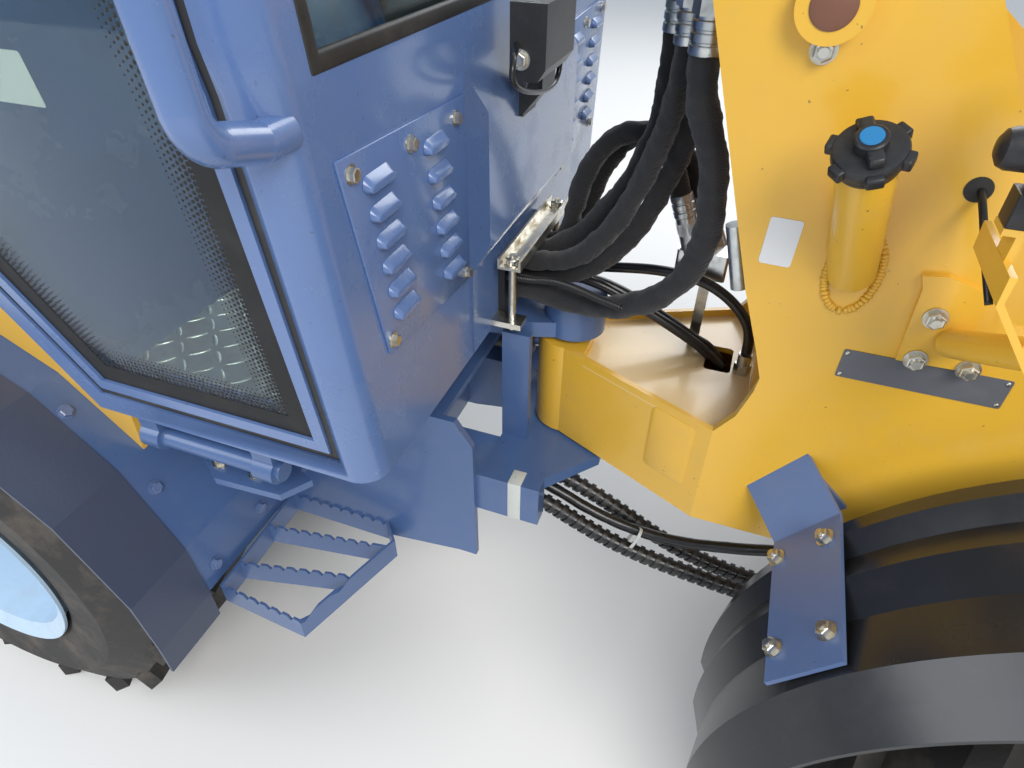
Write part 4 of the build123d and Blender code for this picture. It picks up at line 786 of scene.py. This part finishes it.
# blank label, blank plate and the patch on the neck
label = outline_plate("fuel_label", rounded_outline(-15, -24, 15, 24, 3), 0.5,
                      wall_plane(231, -TOWER_SKIN_Y, 950, TO_VIEWER) @ Matrix.Rotation(radians(-1.5), 4, "Z"))
dress(label, "blank_label", "front", white_label)
PLATE_X, PLATE_Z = 395, 831
plate_piece = outline_plate("data_plate", rounded_outline(-76, -17, 76, 17, 2), 0.8,
                            wall_plane(PLATE_X, -TOWER_SKIN_Y, PLATE_Z, TO_VIEWER))
dress(plate_piece, "blank_plate", "front", grey_plate)
rivet = spun("rivet_pattern", [(0, 0), (2.4, 0), (2.2, 0.9), (1.3, 1.5), (0, 1.7)], Matrix.Identity(4), 12)
bolted(rivet, [((PLATE_X + x, -150.9, PLATE_Z + z), TO_VIEWER) for x in (-72, 72) for z in (-13, 13)],
       "plate_rivets", "front")
scrapped(rivet)
neck_out = Vector((-0.42, -0.907, 0))
patch_middle = at(168, -127.5, 638)
patch = outline_plate("neck_patch", rounded_outline(-32, -51, 32, 51, 8), 1.2,
                      turned_to(patch_middle - neck_out * 0.0003, neck_out), 0.5)
dress(patch, "neck_patch", "front", yellow_paint)

# Pressed louvres
# Columns: y and z of the top louvre, y and z of the lowest one
LOUVRE_COLUMNS = ((341, 1037, 318, 907), (237, 1032, 212, 893))
hood = outline_plate("hood", rounded_outline(-22, -7.5, 22, 7.5, 7.2, 6), 7.5, Matrix.Identity(4))
only(hood)
top_faces_picked(hood)
bpy.ops.transform.resize(value=(0.86, 0.42, 1.0), center_override=(0, 0, 0))
bpy.ops.transform.translate(value=(0, -0.0030, 0))
bpy.ops.object.mode_set(mode="OBJECT")
edge_softened(hood, 0.0022, 4, 25.0)
hood_places = []
for side in BOTH_SIDES:
    for top_y, top_z, low_y, low_z in LOUVRE_COLUMNS:
        for row in range(6):
            hood_places.append(wall_plane(
                -87, side * (top_y + (low_y - top_y) * row / 5), top_z + (low_z - top_z) * row / 5, AHEAD))
hoods = repeated(hood, hood_places, "louvre_hoods", "rear", cab_paint)
scrapped(hood)
panel_shapes = []
for side in BOTH_SIDES:
    corners = [(side * 165, 855), (side * 352, 872), (side * 392, 1066), (side * 165, 1056)]
    panel_shapes.append(outline_plate(
        "louvre_panel", [(y, z - 960) for y, z in (corners if side > 0 else corners[::-1])], 3.0,
        wall_plane(CAB_FRONT_X, 0, 960, AHEAD), 1.2))
panels = dress(joined(panel_shapes), "louvre_panel_sheets", "rear", cab_paint)
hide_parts("louvre_panels")

# lower hoses along the neck, two in spiral guards

LOWER_GUARDED = (
    ((-250, -122, 478), (-180, -122, 478), (-100, -122, 477), (-40, -122, 471), (8, -121, 460), (59, -120, 433),
     (117, -119, 409), (182, -118, 393), (245, -117, 385), (302, -115, 377), (380, -110, 369), (470, -102, 363),
     (560, -92, 360), (632, -92, 360)),
    ((-250, -73, 493), (-180, -73, 493), (-100, -73, 491), (-36, -73, 486), (20, -73, 475), (70, -73, 455),
     (122, -73, 428), (168, -73, 402), (218, -73, 380), (276, -72, 364), (345, -69, 353), (440, -60, 348),
     (545, -48, 346), (632, -48, 346)))
LOWER_SLEEVED = (
    (-250, -98, 468), (-180, -98, 468), (-100, -98, 474), (-45, -98, 479), (1, -98, 475), (72, -97, 440),
    (140, -97, 424), (206, -97, 423), (270, -97, 438), (345, -97, 464), (430, -98, 498), (500, -98, 528),
    (555, -98, 546), (600, -98, 546))


def spiral_guard(name, route, radius, width, pitch):
    """A flat plastic band wound round a hose: a strip of quads that turns as it follows the route."""
    line = route_of(name + "_line", route)
    points = points_along(line)
    scrapped(line)
    reach = [0.0]
    for start, end in zip(points, points[1:]):
        reach.append(reach[-1] + (end - start).length * 1000)
    steps = int(reach[-1] / pitch * 14)
    none_selected()
    bpy.ops.mesh.primitive_grid_add(x_subdivisions=steps, y_subdivisions=1, size=1)
    band = bpy.context.object
    for vertex in band.data.vertices:
        share = vertex.co.x + 0.5
        edge = vertex.co.y
        walked = min(max(share * reach[-1] + edge * width, 0.0), reach[-1] - 0.01)
        index = max(i for i in range(len(reach)) if reach[i] <= walked)
        index = min(index, len(points) - 2)
        start, end = points[index], points[index + 1]
        run = (end - start).normalized()
        middle = start.lerp(end, (walked - reach[index]) / (reach[index + 1] - reach[index]))
        side = run.cross(Vector((0, 0, 1))).normalized()
        rise = side.cross(run)
        angle = 2 * pi * share * reach[-1] / pitch
        vertex.co = middle + (side * cos(angle) + rise * sin(angle)) * radius / 1000
    only(band)
    modified(band, "SOLIDIFY", thickness=0.0022, offset=0)
    cleaned(doubles=False)
    bpy.ops.object.shade_smooth_by_angle(angle=radians(40))
    return band


cores = [hose_tube("drive_hose", route, 10.4) for route in LOWER_GUARDED]
cores.append(hose_tube("upper_drive_hose", LOWER_SLEEVED, 8.6, 1.6))
over_the_joint(joined(cores), "lower_hose_runs", hose_rubber, "rubber", "lower_hoses")
guards = [spiral_guard("guard", route, 12.0, 7.5, 15.0) for route in LOWER_GUARDED]
over_the_joint(joined(guards), "spiral_guards", moulded_black, "rubber")
tie = spun("tie_pattern", [(22.5, -2.4), (23.8, -2.4), (23.8, 2.4), (22.5, 2.4), (22.5, -2.4)],
           Matrix.Identity(4), 24)
tie.data.transform(turned_to(at(144, -108, 411), (1, 0.02, -0.42)) @ Matrix.Diagonal((0.72, 1.25, 1, 1)))
over_the_joint(tie, "hose_tie", tie_white, "rubber")


# cab: the printed border of the door glass, seals, floor and trim

DOOR_OUTLINE = [(-125, 768), (-125, 1120), (-206, 2035), (-640, 2035), (-640, 1254), (-430, 768)]


def drawn_in(outline, depth):
    """The convex outline with every side moved inwards by the depth."""
    sides = []
    middle = (sum(x for x, z in outline) / len(outline), sum(z for x, z in outline) / len(outline))
    for (x0, z0), (x1, z1) in zip(outline, outline[1:] + outline[:1]):
        length = hypot(x1 - x0, z1 - z0)
        nx, nz = (z1 - z0) / length, -(x1 - x0) / length
        if nx * (middle[0] - x0) + nz * (middle[1] - z0) < 0:
            nx, nz = -nx, -nz
        sides.append((nx, nz, nx * x0 + nz * z0 + depth))
    corners = []
    for index in range(len(sides)):
        (a, b, e), (c, d, f) = sides[index - 1], sides[index]
        det = a * d - b * c
        corners.append(((e * d - b * f) / det, (a * f - e * c) / det))
    return corners


def wall_y(z):
    """Half the cab's width at a height."""
    (z0, y0), (z1, y1) = (CAB_SILL, CAB_WAIST) if z < CAB_WAIST[0] else (CAB_WAIST, CAB_ROOF)
    return y0 + (y1 - y0) * (z - z0) / (z1 - z0)


def on_skin(x, z, depth, side):
    """The place on the cab's leaning side wall, at a depth under its outer face."""
    return at(x, side * (wall_y(z) - depth), z)


def parted_at_waist(start, end):
    """A run along the glass, split where the side wall bends at the waist."""
    (x0, z0), (x1, z1) = start, end
    waist = CAB_WAIST[0]
    if (z0 - waist) * (z1 - waist) >= 0:
        return [(start, end)]
    share = (waist - z0) / (z1 - z0)
    bend = (x0 + (x1 - x0) * share, waist)
    return [(start, bend), (bend, end)]


def border_band(name, side, outer, inner, depth, thickness):
    """Flat band between two insets of the door outline, lying on the wall's slope."""
    outer_ring, inner_ring = drawn_in(DOOR_OUTLINE, outer), drawn_in(DOOR_OUTLINE, inner)
    quads = []
    for index in range(len(outer_ring)):
        runs = parted_at_waist(outer_ring[index - 1], outer_ring[index])
        inner_runs = parted_at_waist(inner_ring[index - 1], inner_ring[index])
        for (a, b), (c, d) in zip(runs, inner_runs):
            quads.append((a, b, d, c))
    pieces = []
    for quad in quads:
        none_selected()
        bpy.ops.mesh.primitive_circle_add(vertices=4, radius=0.01, fill_type="NGON")
        piece = bpy.context.object
        for vertex, (x, z) in zip(piece.data.vertices, quad):
            vertex.co = on_skin(x, z, depth, side)
        pieces.append(piece)
    band = joined(pieces)
    cleaned()
    modified(band, "SOLIDIFY", thickness=thickness / 1000, offset=0)
    return band


def dotted_border(name, side, depth):
    """Rows of printed dots that shrink away from the border, each row an array along its edge."""
    rows = []
    for row, dot in enumerate((2.3, 2.05, 1.75, 1.45, 1.15, 0.85)):
        ring = drawn_in(DOOR_OUTLINE, 50.5 + row * 4.6)
        for index in range(len(ring)):
            for (x0, z0), (x1, z1) in parted_at_waist(ring[index - 1], ring[index]):
                start, end = on_skin(x0, z0, depth, side), on_skin(x1, z1, depth, side)
                run = end - start
                count = max(2, int(run.length * 1000 / 4.9))
                none_selected()
                bpy.ops.mesh.primitive_cone_add(vertices=6, radius1=dot / 1000, radius2=0, depth=0.0004)
                mark = bpy.context.object
                out = Vector((0, side, 0.02))
                mark.data.transform(turned_to(start + run * (0.5 * (row % 2) / count), out))
                only(mark)
                modified(mark, "ARRAY", count=count, use_relative_offset=False, use_constant_offset=True,
                         constant_offset_displace=run / count)
                rows.append(mark)
    return joined(rows)


for side, hand in ((-1, "right"), (1, "left")):
    dress(border_band("border", side, 24.4, 48.0, 3.6, 0.4), "glass_border_" + hand, "door_" + hand,
          black_frit)
    dress(dotted_border("dots", side, 3.8), "glass_dots_" + hand, "door_" + hand, black_frit)
    dress(border_band("seal", side, 1.0, 9.0, 6.5, 8.0), "door_seal_" + hand, "rear", soft_rubber)

# rounded front corners of the cab, cut from just under its sill to just over its roof
CORNER = 30.0
SPARE = 6


def corner_cutter(side):
    """What is taken off one front corner: an upright prism with one hollow edge, set at four levels."""
    levels = []
    for z in (CAB_SILL[0] - 5, SCREEN_FOOT_Z, CAB_WAIST[0], CAB_ROOF[0] + 5):
        front = CAB_FRONT_X - SCREEN_LEAN * max(0.0, z - SCREEN_FOOT_Z) / 1000
        y = wall_y(z)
        ring = [(front + SPARE, y + SPARE), (front - CORNER, y + SPARE)]
        for turn in range(90, -1, -10):
            arc = CORNER * cos(radians(turn)), CORNER * sin(radians(turn))
            ring.append((front - CORNER + arc[0], y - CORNER + arc[1]))
        ring.append((front + SPARE, y - CORNER))
        levels.append([at(x, side * w, z) for x, w in ring])
    count = len(levels[0])
    faces = [tuple(range(count)), tuple(reversed(range(3 * count, 4 * count)))]
    for low in (0, count, 2 * count):
        for k in range(count):
            n = (k + 1) % count
            faces.append((low + n, low + k, low + count + k, low + count + n))
    data = bpy.data.meshes.new("corner_cutter")
    data.from_pydata([point for ring in levels for point in ring], [], faces)
    cutter = bpy.data.objects.new("corner_cutter", data)
    bpy.context.scene.collection.objects.link(cutter)
    only(cutter)
    cleaned(doubles=False)
    return cutter


shell = copied(NODES["cab_frame"], "cab_shell", NODES["cab_frame"].matrix_world)
only(shell)
cleaned(outwards=False)
for side in BOTH_SIDES:
    cutter = corner_cutter(side)
    only(shell)
    modified(shell, "BOOLEAN", operation="DIFFERENCE", solver="EXACT", object=cutter)
    scrapped(cutter)
only(shell)
bpy.ops.object.shade_smooth_by_angle(angle=radians(25))
modified(shell, "WEIGHTED_NORMAL", keep_sharp=True, weight=100)
dress(shell, "cab_shell", "rear", cab_paint)
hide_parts("cab_frame")
foot = spun("handle_foot", [(0, -24), (13.2, -24), (13.2, 4), (0, 4)], Matrix.Identity(4), 28)
bolted(foot, [((x, side * y, z), (0, side, 0)) for side in BOTH_SIDES
              for x, y, z in ((-100, 447, 1096), (-140, 437, 1574.8))],
       "handle_feet", "rear", surface=cab_paint)
scrapped(foot)

# checkered floor of the cab
floor_sheet = block((0.296, 0.716, 0.0024), at(-284, 0, 781.3))
none_selected()
bpy.ops.mesh.primitive_uv_sphere_add(segments=12, ring_count=6, radius=1.0)
tear = bpy.context.object
tear.scale = (0.0125, 0.0033, 0.0016)
bpy.ops.object.transform_apply(scale=True)
TEAR_STEP = 26.5
tears = []
for row in range(11):
    for column in range(27):
        turn = radians(45 if (row + column) % 2 else -45)
        spot = at(-418 + row * TEAR_STEP, -345 + column * TEAR_STEP, 782.5)
        tears.append(copied(tear, "tear", Matrix.Translation(spot) @ Matrix.Rotation(turn, 4, "Z")))
scrapped(tear)
dress(joined([floor_sheet] + tears), "checkered_floor", "rear", aluminium)
trim = outline_plate("ledge_trim", rounded_outline(-355, -14, 355, 14, 2), 3.0,
                     turned_to(at(-484, 0, 908), (0.92, 0, 0.39)), 0.8)
dress(trim, "ledge_trim", "rear", aluminium)
sticker = outline_plate("window_label", rounded_outline(-26, -19, 26, 19, 2), 0.3,
                        turned_to(on_skin(-318, 1112, 11.0, -1), (0, -0.994, -0.1)))
dress(sticker, "blank_window_label", "door_right", white_label)

# windscreen gasket: four lengths round the glass, across and up its leaning plane
GASKET = ((-392, 10), (392, 10), (392, 926), (-392, 926))
GASKET_WIDE = 14
screen_out = Vector((1000, 0, SCREEN_LEAN)).normalized()
screen_up = Vector((-SCREEN_LEAN, 0, 1000)).normalized()
gasket_parts = []
for (y0, u0), (y1, u1) in zip(GASKET, GASKET[1:] + GASKET[:1]):
    strip = block((0.0085, (abs(y1 - y0) + GASKET_WIDE) / 1000, (abs(u1 - u0) + GASKET_WIDE) / 1000))
    edge_softened(strip, 0.003, 3)
    middle = (at(CAB_FRONT_X, (y0 + y1) / 2, SCREEN_FOOT_Z)
              + (screen_up * ((u0 + u1) / 2) + screen_out * -3.0) / 1000)
    strip.data.transform(Matrix.Translation(middle) @ Matrix.Rotation(-0.0898, 4, "Y"))
    gasket_parts.append(strip)
dress(joined(gasket_parts), "windscreen_gasket", "rear", soft_rubber)

# bolt and cable of the work lamp
lamp_bolt = hex_bolt_pattern("lamp_bolt", 7.5, 5.0, 1.6, 10.0)
bolted(lamp_bolt, [((-50, -108.0, 1078), TO_VIEWER)], "work_lamp_bolt", "rear")
scrapped(lamp_bolt)
CABLE = ((-58, -98, 1090), (-48, -128, 1092), (-40, -158, 1087), (-40, -162, 1070), (-40, -123, 1052),
         (-40, -56, 1036), (-40, -12, 1036), (-39, -3, 1058), (-39, -8, 1080), (-44, -14, 1096))
dress(hose_tube("lamp_cable", CABLE, 3.0), "work_lamp_cable", "rear", hose_rubber)
LEAD = ((372, -146, 1024), (374, -168, 1014), (382, -186, 990), (392, -192, 966), (398, -206, 950))
dress(hose_tube("lead", LEAD, 3.2), "drive_lamp_lead", "front", hose_rubber)
dress(spun("lead_hole", [(0, 0), (11, 0), (11, 0.5), (0, 0.5)], wall_plane(370, -150, 1023, TO_VIEWER), 24),
      "lead_grommet", "front", soft_rubber)

# driving lamps: a bowl with a small booted end at the back, on a foot
LAMP_X, LAMP_Y, LAMP_Z = 336, 262, 1110
BOWL = [(0, 20), (16, 20), (30, 24), (44, 31), (52, 40), (54.5, 48), (54.5, 68), (52, 69.5), (50, 66),
        (0, 64)]
BOOT = [(0, 0), (7, 0.8), (12, 4), (14, 9), (14, 34), (0, 34)]
LENS = [(0, 64.5), (49.5, 66.5), (49.5, 63.5), (0, 62)]
lamp_parts = []
lens_parts = []
for side in BOTH_SIDES:
    faced = wall_plane(LAMP_X, side * LAMP_Y, LAMP_Z, AHEAD)
    lamp_parts.append(spun("bowl", BOWL, faced, 48))
    lamp_parts.append(spun("boot", BOOT, wall_plane(LAMP_X, side * LAMP_Y, LAMP_Z - 20, AHEAD), 28))
    lamp_parts.append(outline_plate("lamp_foot", rounded_outline(-12, -12, 12, 12, 2), 24,
                                    wall_plane(371, side * LAMP_Y, 1041, UP, AHEAD), 1.0))
    lens_parts.append(spun("lens", LENS, faced, 48))
bowls = dress(joined(lamp_parts), "drive_lamp_bowls", "front", moulded_black)
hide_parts("head_lamps")
dress(joined(lens_parts), "drive_lamp_lenses", "front", clear_lens)

# reflective bands round the stop bars
for side, hand in ((-1, "right"), (1, "left")):
    band = edge_softened(block((0.020, 0.0288, 0.0728), at(-26, side * 162, 504)), 0.001, 2)
    dress(band, "reflective_band_" + hand, "rear", reflective)

# floor, backdrop and light
floor_colour = (0.80, 0.79, 0.77)


def studio_surface(name):
    material, nodes, links, principled = shader(name)
    tone = object_noise(nodes, links, 1.5, 2.0)
    links.new(mixed(nodes, links, tone, floor_colour, tuple(c * 0.985 for c in floor_colour)),
              principled.inputs["Base Color"])
    principled.inputs["Roughness"].default_value = 0.85
    return material


none_selected()
bpy.ops.mesh.primitive_plane_add(size=30, location=(0, 0, -0.0005))
floor = bpy.context.object
floor.name = "studio_floor"
floor.data.materials.append(studio_surface("pale_floor"))
world = bpy.data.worlds.new("studio")
bpy.context.scene.world = world
world.use_nodes = True
background = world.node_tree.nodes["Background"]
background.inputs["Color"].default_value = (0.80, 0.89, 1.0, 1.0)
background.inputs["Strength"].default_value = 0.66
LAMP_SIZE = 3.0


def soft_lamp(name, place, aim, power, colour):
    lamp_data = bpy.data.lights.new(name, "AREA")
    lamp_data.shape = "RECTANGLE"
    lamp_data.size = LAMP_SIZE
    lamp_data.size_y = LAMP_SIZE
    lamp_data.energy = power
    lamp_data.color = colour
    lamp = bpy.data.objects.new(name, lamp_data)
    lamp.location = place
    lamp.rotation_euler = (Vector(aim) - Vector(place)).to_track_quat("-Z", "Y").to_euler()
    bpy.context.scene.collection.objects.link(lamp)


soft_lamp("key", (2.5, -4.0, 5.0), (0, 0, 0.6), 300, (1.0, 0.97, 0.93))
soft_lamp("fill", (-4.0, -2.5, 3.5), (0, 0, 0.8), 110, (0.93, 0.96, 1.0))
soft_lamp("back", (0.5, 4.5, 4.0), (0, 0, 0.8), 130, (1.0, 1.0, 1.0))
